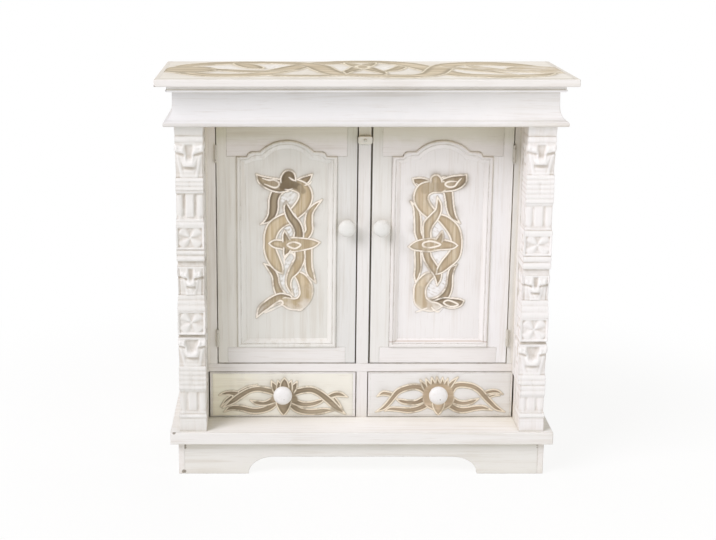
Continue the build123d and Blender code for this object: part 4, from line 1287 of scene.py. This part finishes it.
topStrokes = [
    ("edged", [(-240, -108, 0), (-184, -128, 13), (-122, -134, 15), (-62, -126, 11), (-14, -122, 0)], 0.3),
    ("edged", [(34, -66, 0), (62, -32, 13), (82, 18, 15), (94, 66, 12), (102, 108, 0)], 0.3),
    ("edged", [(-418, -12, 0), (-394, -66, 18), (-348, -114, 25), (-288, -126, 27), (-232, -106, 27),
        (-184, -34, 29), (-146, 40, 29), (-104, 108, 27), (-45, 146, 25), (12, 156, 24), (66, 144, 25),
        (110, 98, 29), (140, 26, 30), (166, -46, 30), (206, -114, 27), (262, -136, 25), (322, -140, 23),
        (378, -122, 18), (426, -66, 0)], 0.3),
    ("edged", [(-418, -12, 0), (-400, 60, 20), (-356, 104, 25), (-300, 132, 25), (-246, 138, 23),
        (-188, 136, 22), (-134, 110, 27), (-100, 56, 29), (-84, -20, 27), (-58, -102, 25), (-6, -122, 24),
        (50, -136, 24), (106, -138, 24), (146, -98, 27), (170, -10, 29), (190, 62, 29), (228, 104, 32),
        (292, 116, 34), (352, 84, 29), (400, 10, 20), (426, -66, 0)], 0.25),
    ("plain", [(-384, 82, 12), (-356, 104, 19), (-300, 132, 21), (-246, 138, 19), (-188, 136, 18),
        (-142, 116, 16)], 0.6),
    ("plain", [(-90, 122, 14), (-45, 146, 18), (12, 156, 18), (62, 146, 15)], 0.55),
    ("edged", [(-418, -12, 0), (-408, -12, 38), (-392, -12, 60), (-376, -10, 54), (-360, -8, 26),
        (-344, -6, 0)], 0.5),
    ("edged", [(426, -66, 0), (410, -38, 44), (392, -12, 64), (374, -4, 56), (356, 2, 28), (340, 6, 0)],
        0.05, 0.3),
    ("edged", [(-290, 130, 4), (-264, 88, 23), (-242, 36, 21), (-222, 2, 0)], 0.4),
    ("edged", [(-340, 10, 0), (-300, -26, 17), (-250, -48, 19), (-200, -44, 11), (-150, -18, 0)], 0.45),
    ("edged", [(-40, -110, 0), (-34, -50, 11), (-18, -8, 17), (-6, 30, 21), (6, 66, 21), (24, 104, 13),
        (40, 140, 0)], 0.45),
    ("edged", [(46, -126, 0), (38, -66, 11), (24, -22, 16), (10, 22, 20), (-4, 62, 20), (-22, 104, 13),
        (-36, 138, 0)], 0.35),
    ("edged", [(236, 84, 0), (262, 34, 19), (300, -22, 21), (344, -50, 11), (372, -64, 0)], 0.05, 0.3),
    ("edged", [(176, 62, 0), (204, 30, 13), (244, -16, 17), (288, -64, 11), (330, -118, 0)], 0.1, 0.2),
    ("plain", [(3, 20, 13), (3, 66, 13)], 0.3),
    ("line", [(3, 4), (16, 24), (16, 60), (3, 82), (-10, 60), (-10, 24), (3, 4)]),
]

leftDoorCarving = {"strokes": leftDoorStrokes, "seed": 5, "holes": [
    (1, 130, 22), (-4, 50, 22), (44, 60, 12), (2, -20, 20), (14, -94, 20), (-6, -64, 14)]}
rightDoorCarving = {"strokes": rightDoorStrokes, "seed": 8, "holes": [
    (-11, 130, 22), (-3, 53, 22), (-40, 60, 10), (-10, -20, 20), (-16, -84, 20), (8, -66, 14)]}
leftDrawerCarving = {"strokes": leftDrawerStrokes, "seed": 15, "holes": []}
rightDrawerCarving = {"strokes": rightDrawerStrokes, "seed": 18, "holes": []}
topCarving = {"strokes": topStrokes, "seed": 27, "holes": [
    (-324, 25, 60), (-184, 60, 55), (-40, 20, 50), (60, 20, 60), (225, 20, 60), (330, -20, 50)]}
drawerCarveLook = dict(
    carveLook, bead=3.0, fine=1.0, rise=0.9, beadHeight=0.6, rim=4.0, under=0.5, stainHigh=0.5,
    stainLow=0.3, stainSpan=(-40, 40), wornSpan=(-300, -400), line=1.5)
topCarveLook = dict(
    carveLook, fine=2.4, coarse=5.0, rise=1.5, beadHeight=0.6, bead=4.6, overhang=1.5, foot=3.5, line=4.0,
    soft=2.6, gouge=0.45, stain=10.0, stainHigh=0.45, stainLow=0.45, shading=0.55, shadingReach=17.0,
    wornSpan=(-400, -500), rim=6.0, under=0.5)
# mm: the low end, the span of the close lines and the high end, across and up
doorFine = {"half": 84, "low": -166, "high": 202, "top": 216}
drawerLines = ((-162, -152, 156, 162), (-51, -50, 50, 51))
topLines = ((-440, -436, 432, 440), (-166, -158, 178, 184))


def doorGrid(look, carve, fine):
    # places over the panel; the top rows follow the arch
    reach, low, line = panelReach(look)
    across = gridLines(-reach, -fine["half"], fine["half"], reach, carve)
    rows = gridLines(low, fine["low"], fine["high"], fine["top"], carve)
    arch = np.interp(across, [x for x, _ in line], [z for _, z in line])
    across, rows = np.meshgrid(across, rows)
    stretch = np.clip((rows - fine["high"]) / (fine["top"] - fine["high"]), 0, 1)
    return across, np.where(rows > fine["high"], fine["high"] + stretch * (arch - fine["high"]), rows)


def plainGrid(lines, look):
    return np.meshgrid(*(gridLines(*line, look) for line in lines))


# painted shade: the left door's moulding a little darker; the right one gets a thin darker band low on its
# bottom run
doorEdge = {
    "left": woodMaterial("leftDoorEdge", tinted(doorWash, (0.95, 0.965, 0.94)), "upright"),
    "right": woodMaterial("rightDoorEdge", dict(doorWash, drift=doorWash["drift"] + [
        ("Z", (0.80, 0.74, 0.70), 0.2860, 0.2868), ("Z", (1.25, 1.35, 1.43), 0.2892, 0.2900)]), "upright"),
}
carvings = {"left": (leftDoorCarving, leftDrawerCarving), "right": (rightDoorCarving, rightDrawerCarving)}
for side, (carving, _) in carvings.items():
    doorMoulding(side, openingLook, doorEdge[side])
    place = (openingLook["middles"][side], openingLook["face"], openingLook["level"])
    carveBoard(side + "_door_carved_panel", doorGrid(openingLook, carveLook, doorFine), carving, carveLook,
               carvedDoor[side], side + "_door", place, standUp, (side + "_door_panel",))
for side, (_, carving) in carvings.items():
    carveBoard(side + "_drawer_carving", plainGrid(drawerLines, drawerCarveLook), carving, drawerCarveLook,
               carvedDrawer[side], side + "_drawer", frontMiddle(side + "_drawer_front"), standUp)
carveBoard("top_carving", plainGrid(topLines, topCarveLook), topCarving, topCarveLook, carvedTop, "root",
           (0, 0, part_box("top_board")[1].z), layFlat)
print("mouldings and carvings made")


# the flared moulding: it runs up into the frieze without a visible joint

crownLook = {
    "half": 414,          # mm, the frieze face at the sides
    "front": -154,
    "back": 185.7,
    "projection": 20,
    "low": 797,
    "slack": 0.1,         # where the side's finish begins at the mitre
}
# share of the projection and height above the underside in mm; the last points lie inside the frieze
crownProfile = [
    (-0.03, 0.4), (0.0, 0.0), (0.90, 0.0), (0.95, 0.5), (0.98, 1.6), (1.0, 3.4), (0.995, 5.4), (0.97, 7.4),
    (0.93, 9.2), (0.86, 10.6), (0.77, 11.6), (0.66, 12.8), (0.53, 15.0), (0.41, 17.8), (0.29, 21.4),
    (0.185, 25.6), (0.11, 30.4), (0.065, 36.0), (0.035, 43.0), (0.02, 52.0), (0.015, 61.0), (0.012, 75.0),
    (-0.03, 75.6),
]


def crownPath(look):
    # the path's corners, and which way the profile points at each
    half, front, back, out = look["half"], look["front"], look["back"], look["projection"]
    return [((-half, back), (-out, 0)), ((-half, front), (-out, -out)), ((half, front), (out, -out)),
            ((half, back), (out, 0))]


def makeCrown(look, material, sideMaterial):
    path, outward = zip(*crownPath(look))
    place = Matrix.Translation((0, 0, look["low"] * mm))
    swept = sweep("crown", path, outward, False, crownProfile, material, place)
    swept.materials.append(sideMaterial)
    for face in swept.polygons:
        beside = abs(face.center.x) - look["half"] * mm
        face.material_index = int(beside > look["front"] * mm - face.center.y + look["slack"] * mm)
    smoothShade(swept, sharpFrom["crown"])
    return addPiece("flare_moulding_swept", swept, "root", ("flare_moulding",))


# painted shade and light on the flared moulding: a little darker and cooler overall, darker on its lowest few
# mm, lighter towards the right
crownWash = tinted(washLook, (0.92, 0.945, 0.97), drift=[
    ("Z", (0.93, 0.91, 0.87), 0.808, 0.801), ("X", (1.07, 1.06, 1.05), -0.05, 0.38)])
makeCrown(crownLook, woodMaterial("crownWash", crownWash, "across"),
          woodMaterial("crownSideWash", crownWash, "deep"))


# turned knobs: radius and distance out from the wood, both in mm

turnLook = {
    "segments": 48,
    "doorRadius": 19.5,
    "drawerRadius": 21.5,
    "out": 34,              # the height that knobHead below is drawn for
    "tenon": 4.9,           # the tenon's radius
    "tenonLength": 20,
    "doorTone": (0.88, 0.905, 0.905),
    "drawerTone": (0.98, 1.0, 1.03),
    "drawerChip": ((0.003, -0.0335, -0.006), 0.0016),   # metres from the wood, and its size
}
# the foot ring and neck as radius and height, the flattened ball as share of its radius and height
knobFoot = [(10, 0), (10.4, 1.4), (10, 3), (8.2, 4.2), (7.5, 6.0), (7.9, 8.4)]
knobHead = [(0.47, 10), (0.62, 10.8), (0.78, 12.4), (0.90, 14.8), (0.965, 17.2), (0.955, 18.2), (0.99, 19.2),
            (1.0, 21.4), (0.985, 24.0), (0.93, 27.0), (0.83, 29.8), (0.68, 31.9), (0.50, 33.2), (0.28, 33.85)]


def knobProfile(look, radius):
    shaft = [(look["tenon"], -look["tenonLength"]), (look["tenon"], 0)]
    return shaft + knobFoot + [(share * radius, high) for share, high in knobHead]


def turnedMesh(name, rings, ends, count):
    # turns the profile about the Y axis and closes both ends with a point
    verts = []
    for ring, out in rings:
        for index in range(count):
            turn = 2 * math.pi * index / count
            verts.append((ring * math.cos(turn) * mm, -out * mm, ring * math.sin(turn) * mm))
    verts += [(0, -out * mm, 0) for out in ends]
    foot, tip = len(verts) - 2, len(verts) - 1
    last = (len(rings) - 1) * count
    faces = []
    for index in range(count):
        after = (index + 1) % count
        for row in range(0, last, count):
            faces.append((row + index, row + after, row + count + after, row + count + index))
        faces.append((foot, after, index))
        faces.append((tip, last + index, last + after))
    mesh = bpy.data.meshes.new(name)
    mesh.from_pydata(verts, [], faces)
    return mesh


def turnKnob(side, kind, look):
    name = side + "_" + kind + "_knob"
    low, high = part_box(name)
    place = Vector(((low.x + high.x) / 2, low.y + look["out"] * mm, (low.z + high.z) / 2))
    rings = knobProfile(look, look[kind + "Radius"])
    mesh = turnedMesh(name + "Turned", rings, (-look["tenonLength"], look["out"]), look["segments"])
    offset, size = look["drawerChip"]
    chips = [(place + Vector(offset), size)] if kind == "drawer" else []
    wash = tinted(knobLook, look[kind + "Tone"], chips=chips)
    mesh.materials.append(woodMaterial(name + "Wash", wash, "deep"))
    mesh.transform(Matrix.Translation(place))
    tidyMesh(mesh)
    smoothShade(mesh, sharpFrom["knob"])
    return addPiece(name + "_turned", mesh, side + "_" + kind, (name,))


for side in ("left", "right"):
    for kind in ("door", "drawer"):
        turnKnob(side, kind, turnLook)
print("crown and knobs made")


# carved posts: a fine grid wrapped round the front block, pushed in and out section by section

postLook = {
    "half": 31,             # mm, half a post's width
    "middle": 380,          # mm from the cabinet's middle
    "frontSteps": 56,
    "sideSteps": 18,
    "rowStep": 1.25,        # mm
    "rowInset": 0.15,       # mm, from a section's ends to its first and last row
    "sideShare": 0.3,       # how much of the front's relief the corners take
    "sideDetail": 0.5,      # how deep the side carving is beside the front's
    "sideProud": 1.0,       # mm, the most that it stands out
    "wobble": 0.4,          # mm, the hand carver's unevenness
    "soften": 3,
    "foot": 104,            # mm, underside
    "blockBack": -97.5,
    "front": -160,
    "rear": (-98, -66),
    "rearEdge": 0.8,
    "cutDepth": 6,          # mm, where a post makes room beside a drawer
    "cutTop": 215,
    "blurs": ((0.6, 4), (0.4, 13)),  # share and reach of the blurs that tell hollows from ridges
    "hollowDepth": 2.2,     # mm
    "ridgeDepth": 1.8,
}
postHalf = postLook["half"]
# the carver's unevenness: slow waves along a post in radians per mm, and over it per half width
waveLook = {"count": 6, "along": (0.05, 0.22), "over": (2, 7), "phase": 6.3, "scale": 4, "flankSeed": 9}

# section kinds and heights in mm, from the top down
leftSections = [
    ("cap", 22), ("band", 13), ("leaf", 78), ("reeds", 29), ("waist", 68), ("ledge", 10), ("rosette", 52),
    ("torus", 27), ("undercut", 12), ("smallLeaf", 65), ("steps", 36), ("rosette", 54), ("undercut", 7),
    ("bell", 67), ("reeds", 56), ("paleWaist", 57), ("ledge", 8), ("plinth", 32),
]
rightSections = [
    ("cap", 23), ("band", 13), ("leaf", 71), ("reeds", 63), ("paleWaist", 60), ("ledge", 9), ("rosette", 47),
    ("torus", 31), ("undercut", 14), ("smallLeaf", 57), ("steps", 41), ("rosette", 53), ("undercut", 7),
    ("bell", 72), ("reeds", 49), ("paleWaist", 41), ("ledge", 10), ("plinth", 32),
]


# the section shapes give mm behind the post's front. u runs from -1 to 1 across, v from 0 to 1 down the
# section, and high is its height in mm. Depths and radii are in mm; places, halves and spans are in u or v.

capLook = {"ground": 0.3, "hollow": 3.0, "curve": 1.6, "groove": 0.8, "grooveHalf": 0.12}


def capShape(u, v, high, look):
    # hollowed towards a groove at its foot
    groove = look["groove"] * roll(v, 1.0, look["grooveHalf"])
    return look["ground"] + look["hollow"] * v ** look["curve"] + groove


# round beads: each one's middle and half height are shares of its own part of the section
beadLooks = {
    "band": {"ground": 2.6, "rise": 1.7, "middle": 0.55, "half": 0.42, "count": 1, "stepOut": 0.0},
    "ledge": {"ground": 2.4, "rise": 2.2, "middle": 0.5, "half": 0.52, "count": 1, "stepOut": 0.0},
    "torus": {"ground": 4.6, "rise": 4.4, "middle": 0.5, "half": 0.46, "count": 2, "stepOut": 0.0},
    "undercut": {"ground": 8.0, "rise": 1.6, "middle": 1.0, "half": 0.3, "count": 1, "stepOut": 0.0},
    "steps": {"ground": 7.2, "rise": 1.5, "middle": 0.55, "half": 0.45, "count": 3, "stepOut": 2.3},
}


def beadShape(u, v, high, look):
    # beads one below the other; stepOut is how far each stands out past the one above
    part = (v * look["count"]) % 1.0
    level = np.floor(v * look["count"])
    return look["ground"] - look["stepOut"] * level - look["rise"] * roll(part, look["middle"], look["half"])


leafLook = {
    "ground": 2.6,
    "body": 1.0,                            # half the leaf's width
    "leanBack": 2.6,                        # it lies deeper towards its foot
    "leanSpan": (0.3, 0.95),
    "beside": 2.4,                          # how deep it is cut beside the tapering leaf
    "besideTop": 1.02,
    "besideTaper": 0.42,
    "besideEdge": 0.12,
    "besideSpan": (0.3, 0.4),
    "curl": 0.19,                           # a curl on each side under the top strip
    "curlRise": 4.6,
    "curlHalf": 0.105,
    "curlTilt": 0.10,
    "curlEdge": (0.10, 0.24),
    "curlOver": 0.04,
    "curlFade": 0.1,
    "eye": 2.2,                             # a small round hollow in each curl
    "eyeAcross": 0.72,
    "eyeRadius": 3.2,
    "groove": 3.2,                          # under each curl
    "grooveBelow": 0.145,
    "grooveHalf": 0.05,
    "grooveEdge": (0.05, 0.2),
    "channel": 0.2,                         # down the middle, narrower towards its foot
    "channelDepth": 4.2,
    "channelWide": 1.5,
    "channelEdge": (-0.06, 0.08),
    "channelSpan": (0.05, 0.12, 0.38, 0.54),
    "ridge": 1.6,                           # along both sides of the channel
    "ridgeBeside": 0.12,
    "ridgeHalf": 0.09,
    "ridgeSpan": (0.06, 0.14, 0.48, 0.62),
    "lip": 6.2,                             # the tip that rolls forward
    "lipHalf": 0.66,
    "lipTaper": 0.25,
    "lipTaperSpan": (0.44, 0.7),
    "lipSpan": (0.44, 0.62, 0.66, 0.71),
    "shadow": 3.4,                          # the hollow under the tip
    "shadowPlace": 0.735,
    "shadowHigh": 0.06,
    "shadowHalf": 0.56,
    "vein": 1.5,                            # a slanted cut on each side
    "veinTop": 0.9,
    "veinSlant": 0.55,
    "veinWide": 0.06,
    "veinSpan": (0.34, 0.42, 0.9, 0.97),
    "foot": 1.2,                            # a thin bead at the foot
    "footPlace": 0.96,
    "footHalf": 0.05,
}


def beyond(value, edge, span):
    return ease(value, edge + span[0], edge + span[1])


def leafShape(u, v, high, look):
    # a leaf capital: two curls, a channel between them and a tip that rolls forward
    side = np.abs(u)
    body, channel, curl = look["body"], look["channel"], look["curl"]
    inset = look["ground"] + look["leanBack"] * ease(v, *look["leanSpan"])
    outline = look["besideTop"] * body - look["besideTaper"] * v
    inset += look["beside"] * ease(side - outline, 0.0, look["besideEdge"]) * ease(v, *look["besideSpan"])
    tilt = curl + look["curlTilt"] * (look["eyeAcross"] - side)
    turned = roll(v, tilt, look["curlHalf"]) * beyond(side, channel, look["curlEdge"])
    inset -= look["curlRise"] * turned * ease(body + look["curlOver"] - side, 0.0, look["curlFade"])
    away = np.hypot((side - look["eyeAcross"] * body) * postHalf, (v - curl) * high)
    inset += look["eye"] * roll(away, 0, look["eyeRadius"])
    groove = look["groove"] * roll(v, tilt + look["grooveBelow"], look["grooveHalf"])
    inset += groove * beyond(side, channel, look["grooveEdge"])
    wall = channel * (look["channelWide"] - look["channelWide"] * v)
    cut = look["channelDepth"] * (1 - beyond(side, wall, look["channelEdge"]))
    inset += cut * between(v, *look["channelSpan"])
    ridge = look["ridge"] * roll(side, wall + look["ridgeBeside"], look["ridgeHalf"])
    inset -= ridge * between(v, *look["ridgeSpan"])
    lipHalf = (look["lipHalf"] - look["lipTaper"] * ease(v, *look["lipTaperSpan"])) * body
    inset -= look["lip"] * (between(v, *look["lipSpan"]) * roll(u, 0, lipHalf))
    shadow = look["shadow"] * roll(v, look["shadowPlace"], look["shadowHigh"])
    inset += shadow * roll(u, 0, look["shadowHalf"] * body)
    vein = np.abs(side - look["veinTop"] * body + look["veinSlant"] * v)
    inset += look["vein"] * fall(vein, 0.0, look["veinWide"]) * between(v, *look["veinSpan"])
    inset -= look["foot"] * roll(v, look["footPlace"], look["footHalf"])
    return inset


smallLeafLook = dict(
    leafLook, body=0.72, channel=0.12, curl=0.26, setBack=1.6, frame=2.8, frameAcross=0.86,
    frameEdge=(0.02, 0.06), frameSpan=(0.04, 0.08))


def smallLeafShape(u, v, high, look):
    # a narrow leaf with a thin cut down each side of it
    frame = look["frame"] * fall(np.abs(np.abs(u) - look["frameAcross"]), *look["frameEdge"])
    return leafShape(u, v, high, look) + frame * ease(v, *look["frameSpan"]) + look["setBack"]


bellLook = dict(
    leafLook, channel=0.34, curl=0.2, bell=2.2, mouth=0.36, mouthTaper=0.30, mouthHigh=0.55,
    mouthEdge=(-0.04, 0.06), bellSpan=(0.07, 0.13, 0.5, 0.6))


def bellShape(u, v, high, look):
    # a wide leaf with a bell hollowed between its curls
    mouth = look["mouth"] - look["mouthTaper"] * v / look["mouthHigh"]
    hollow = (1 - beyond(np.abs(u), mouth, look["mouthEdge"])) * between(v, *look["bellSpan"])
    return leafShape(u, v, high, look) + look["bell"] * hollow


reedLook = {
    "spacing": 11,                          # mm
    "fewest": 3,
    "ground": 5.6,
    "rise": 3.6,
    "roundness": 0.8,
    "split": 1.4,                           # a short cut down the middle
    "splitEdge": (0.02, 0.07),
    "splitHalf": 0.3,
}


def reedShape(u, v, high, look):
    # reeds that lie across the post
    count = max(look["fewest"], round(high / look["spacing"]))
    part = (v * count) % 1.0
    inset = look["ground"] - look["rise"] * roll(part, 0.5, 0.5) ** look["roundness"]
    inset += look["split"] * fall(np.abs(u), *look["splitEdge"]) * roll(v, 0.5, look["splitHalf"])
    return inset


waistLook = {
    "ground": 8.2,
    "panel": 2.8,                           # the raised panel in the middle
    "panelEdge": (0.26, 0.34),
    "panelSpan": (0.07, 0.13, 0.84, 0.9),
    "flute": 2.4,                           # beside it, round at the top
    "fluteAcross": 0.42,
    "fluteTop": 0.17,
    "fluteEdge": (2.0, 3.4),
    "fluteSpan": (0.08, 0.10, 0.80, 0.86),
    "reed": 2.6,                            # near each edge
    "reedAcross": 0.78,
    "reedHalf": 0.24,
    "reedSpan": (0.10, 0.18, 0.78, 0.84),
    "head": 5.6,                            # the plain strips above and below
    "headSpan": (0.05, 0.1),
    "foot": 5.4,
    "footSpan": (0.88, 0.94),
    "bud": 2.4,                             # at the foot of each reed
    "budAcross": 0.72,
    "budPlace": 0.87,
    "budRadius": 5.5,
}


def waistShape(u, v, high, look):
    # a raised middle panel between deep flutes, with flared ends
    side = np.abs(u)
    panel = look["panel"] * fall(side, *look["panelEdge"])
    inset = look["ground"] - panel * between(v, *look["panelSpan"])
    arch = np.hypot((side - look["fluteAcross"]) * postHalf, np.maximum(look["fluteTop"] - v, 0) * high)
    inset += look["flute"] * fall(arch, *look["fluteEdge"]) * between(v, *look["fluteSpan"])
    reed = look["reed"] * roll(side, look["reedAcross"], look["reedHalf"])
    inset -= reed * between(v, *look["reedSpan"])
    inset -= look["head"] * fall(v, *look["headSpan"])
    inset -= look["foot"] * ease(v, *look["footSpan"])
    away = np.hypot((side - look["budAcross"]) * postHalf, (v - look["budPlace"]) * high)
    inset -= look["bud"] * roll(away, 0, look["budRadius"])
    return inset


paleWaistLook = {"ground": 3.2, "share": 0.5}


def paleWaistShape(u, v, high, look):
    # the lower waist is cut less deep
    return look["ground"] + look["share"] * waistShape(u, v, high, waistLook)


rosetteLook = {
    "half": 29,                             # mm, half its width
    "frame": 1.2,
    "hollow": 4.6,                          # from the frame to the ground
    "hollowEdge": (3.4, 4.8),
    "petal": 4.6,
    "petalNarrow": 2.2,
    "petalSpan": (1.5, 7, 24, 30),
    "petalEdge": (4.2, 5.4),
    "crease": 1.0,                          # along a petal's middle
    "creaseNarrow": 8,
    "eye": 3.0,
    "eyeRadius": 3.2,
    "bud": 1.5,                             # one at the middle of each side
    "budRadius": 3.0,
    "budAcross": 21,
    "budInset": 8,
}


def rosetteShape(u, v, high, look):
    # four petals set on the diagonals inside a plain frame
    x = u * look["half"]
    z = (0.5 - v) * high
    away = np.hypot(x, z)
    turn = np.arctan2(z, x)
    frameEdge = np.minimum((1 - np.abs(u)) * look["half"], (0.5 - np.abs(v - 0.5)) * high)
    inset = look["frame"] + look["hollow"] * ease(frameEdge, *look["hollowEdge"])
    petal = np.abs(np.sin(2 * turn)) ** look["petalNarrow"] * between(away, *look["petalSpan"])
    field = ease(frameEdge, *look["petalEdge"])
    inset -= (look["petal"] * petal - look["crease"] * petal ** look["creaseNarrow"]) * field
    inset -= look["eye"] * roll(away, 0, look["eyeRadius"])
    beside = np.hypot(np.abs(x) - look["budAcross"], z)
    bud = np.minimum(beside, np.hypot(x, np.abs(z) - 0.5 * high + look["budInset"]))
    inset -= look["bud"] * roll(bud, 0, look["budRadius"]) * field
    return inset


plinthLook = {"ground": 2.6, "step": 1.4, "stepSpan": (0.12, 0.2), "groove": 0.8, "groovePlace": 0.28,
              "grooveHalf": 0.06}


def plinthShape(u, v, high, look):
    groove = look["groove"] * roll(v, look["groovePlace"], look["grooveHalf"])
    return look["ground"] - look["step"] * ease(v, *look["stepSpan"]) + groove


sectionShapes = {
    "cap": (capShape, capLook), "leaf": (leafShape, leafLook), "smallLeaf": (smallLeafShape, smallLeafLook),
    "bell": (bellShape, bellLook), "reeds": (reedShape, reedLook), "waist": (waistShape, waistLook),
    "paleWaist": (paleWaistShape, paleWaistLook), "rosette": (rosetteShape, rosetteLook),
    "plinth": (plinthShape, plinthLook), **{kind: (beadShape, look) for kind, look in beadLooks.items()},
}


def carvedDepth(kind, across, v, high):
    shape, look = sectionShapes[kind]
    return shape(*np.meshgrid(across, v), high, look)


def unevenness(u, z, seed, look):
    dice = np.random.default_rng(seed)
    total = np.zeros(np.broadcast(u, z).shape)
    for _ in range(look["count"]):
        along, over = dice.uniform(*look["along"]), dice.uniform(*look["over"])
        waves = np.sin(z * along + dice.uniform(0, look["phase"]))
        total += waves * np.sin(u * over + dice.uniform(0, look["phase"]))
    return total / look["scale"]


def blurGrid(grid, reach):
    # a plain box blur, rows then columns, to find what lies deeper than its surroundings
    out = grid
    for axis in (0, 1):
        sums = np.zeros_like(out)
        for shift in range(-reach, reach + 1):
            sums += np.roll(out, shift, axis)
        out = sums / (2 * reach + 1)
    return out


def softenGrid(grid, rounds):
    # years of paint round the carving off
    for _ in range(rounds):
        wide = np.pad(grid, 1, "edge")
        beside = wide[:-2, 1:-1] + wide[2:, 1:-1] + wide[1:-1, :-2] + wide[1:-1, 2:]
        grid = (beside + 2 * grid) / 6
    return grid


def sectionRows(kind, high, z, v, look, seed, isCut):
    # one section: rows down the post, columns round it from the back left to the back right
    across = np.linspace(-1, 1, look["frontSteps"] + 1)
    along = np.linspace(-1, 1, look["sideSteps"] + 1)
    front = softenGrid(carvedDepth(kind, across, v, high), look["soften"])
    front = front + look["wobble"] * unevenness(*np.meshgrid(across, z), seed, waveLook)
    flank = carvedDepth(kind, along, v, high)
    flankSeed = seed + waveLook["flankSeed"]
    flank = flank + look["wobble"] * unevenness(*np.meshgrid(along, z), flankSeed, waveLook)
    far = look["half"] - look["sideShare"] * front[:, :1]
    low = np.where(isCut, np.maximum(-far, look["cutDepth"] - look["half"]), -far)
    x = low + (far - low) * (across[None, :] + 1) / 2
    y = look["front"] + front
    carve = look["sideDetail"] * (flank - flank[:, :1] * 0.5 - flank[:, -1:] * 0.5)
    carve = np.maximum(carve, -look["sideProud"])
    back = look["blockBack"]
    leftY = back + (y[:, :1] - back) * (along[None, :] + 1) / 2
    rightY = back + (y[:, -1:] - back) * (along[None, ::-1] + 1) / 2
    leftX = low + carve
    rightX = far - carve[:, ::-1]
    leftX[:, -1:] = low
    rightX[:, :1] = far
    ring = np.concatenate([np.stack([leftX, leftY], -1)[:, :-1], np.stack([x, y], -1),
                           np.stack([rightX, rightY], -1)[:, 1:]], 1)
    height = np.repeat(z[:, None, None], ring.shape[1], 1)
    depth = np.concatenate([flank[:, :-1], front, flank[:, ::-1][:, 1:]], 1)
    return np.concatenate([ring, height], 2), depth


def postGrid(sections, look, seed, innerCut):
    rows = []
    depths = []
    top = look["foot"] + sum(high for _, high in sections)
    for kind, high in sections:
        steps = max(3, round(high / look["rowStep"]))
        v = np.linspace(look["rowInset"] / high, 1 - look["rowInset"] / high, steps)
        z = top - v * high
        ring, depth = sectionRows(kind, high, z, v, look, seed, (z < innerCut)[:, None])
        rows.append(ring)
        depths.append(depth)
        top -= high
    return np.concatenate(rows), np.concatenate(depths)


def gridMesh(name, grid, layers):
    # closes the wrapped grid with its back and its two ends
    rows, columns = grid.shape[:2]
    mesh = bpy.data.meshes.new(name)
    ids = np.arange(rows * columns).reshape(rows, columns)
    ahead = np.roll(ids, -1, 1)
    quads = np.stack([ids[:-1], ids[1:], ahead[1:], ahead[:-1]], -1).reshape(-1, 4)
    faces = quads.tolist() + [ids[0].tolist(), ids[-1][::-1].tolist()]
    mesh.from_pydata((grid.reshape(-1, 3) * mm).tolist(), [], faces)
    for label, values in layers.items():
        mesh.attributes.new(label, "FLOAT", "POINT").data.foreach_set("value", values.reshape(-1))
    return mesh


def addRearBoard(mesh, outline, look):
    # the plain board behind the carved block, an outline in x and z given a thickness in y
    work = bmesh.new()
    work.from_mesh(mesh)
    near, far = look["rear"]
    first = [work.verts.new((x * mm, near * mm, z * mm)) for x, z in outline]
    second = [work.verts.new((x * mm, far * mm, z * mm)) for x, z in outline]
    made = [work.faces.new(first), work.faces.new(second[::-1])]
    for index in range(len(outline)):
        after = (index + 1) % len(outline)
        made.append(work.faces.new((first[index], first[after], second[after], second[index])))
    edges = {edge for face in made for edge in face.edges}
    bmesh.ops.bevel(work, geom=list(edges), offset=look["rearEdge"] * mm, segments=2, affect="EDGES")
    bmesh.ops.recalc_face_normals(work, faces=work.faces)
    work.to_mesh(mesh)
    work.free()


def carvePost(name, sections, side, look, seed, material, innerCut=0):
    # side is -1 or 1; below innerCut the post is narrower beside the drawer
    middle = side * look["middle"]
    grid, depth = postGrid(sections, look, seed, innerCut)
    grid[..., 0] += middle
    # painted shade in the hollows and painted highlight on the ridges, found from how far each point lies
    # below or above its blurred surroundings
    hollow = depth - sum(share * blurGrid(depth, reach) for share, reach in look["blurs"])
    layers = {"hollow": np.clip(hollow / look["hollowDepth"], 0, 1),
              "ridge": np.clip(-hollow / look["ridgeDepth"], 0, 1)}
    mesh = gridMesh(name, grid, layers)
    inner, outer = middle - side * look["half"], middle + side * look["half"]
    foot = look["foot"]
    top = foot + sum(high for _, high in sections)
    outline = [(outer, foot), (inner, foot), (inner, top), (outer, top)]
    if innerCut:
        cut = inner + side * look["cutDepth"]
        outline[1:2] = [(cut, foot), (cut, innerCut), (inner, innerCut)]
    addRearBoard(mesh, outline, look)
    mesh.materials.append(material)
    smoothShade(mesh, sharpFrom["post"])
    return addPiece(name + "_carved", mesh, "root", (name,))


# the posts' wash: its hollow colour is painted shade and its ridge colour a painted highlight
postWash = dict(washLook, bright=(0.845, 0.82, 0.81), thinAmount=0.4, edgeWidth=0.0018, dirtAndShadeAmount=0.5,
                hollow=(0.54, 0.475, 0.40), hollowAmount=0.7, ridge=(0.88, 0.865, 0.85), ridgeAmount=0.8)
# painted shade: the left post a little darker than the right
leftPostPaint = woodMaterial("leftPostWash", tinted(postWash, (0.91, 0.915, 0.89)), "upright")
rightPostPaint = woodMaterial("rightPostWash", postWash, "upright")
carvePost("left_post", leftSections, -1, postLook, 11, leftPostPaint)
carvePost("right_post", rightSections, 1, postLook, 23, rightPostPaint, postLook["cutTop"])
print("posts carved")
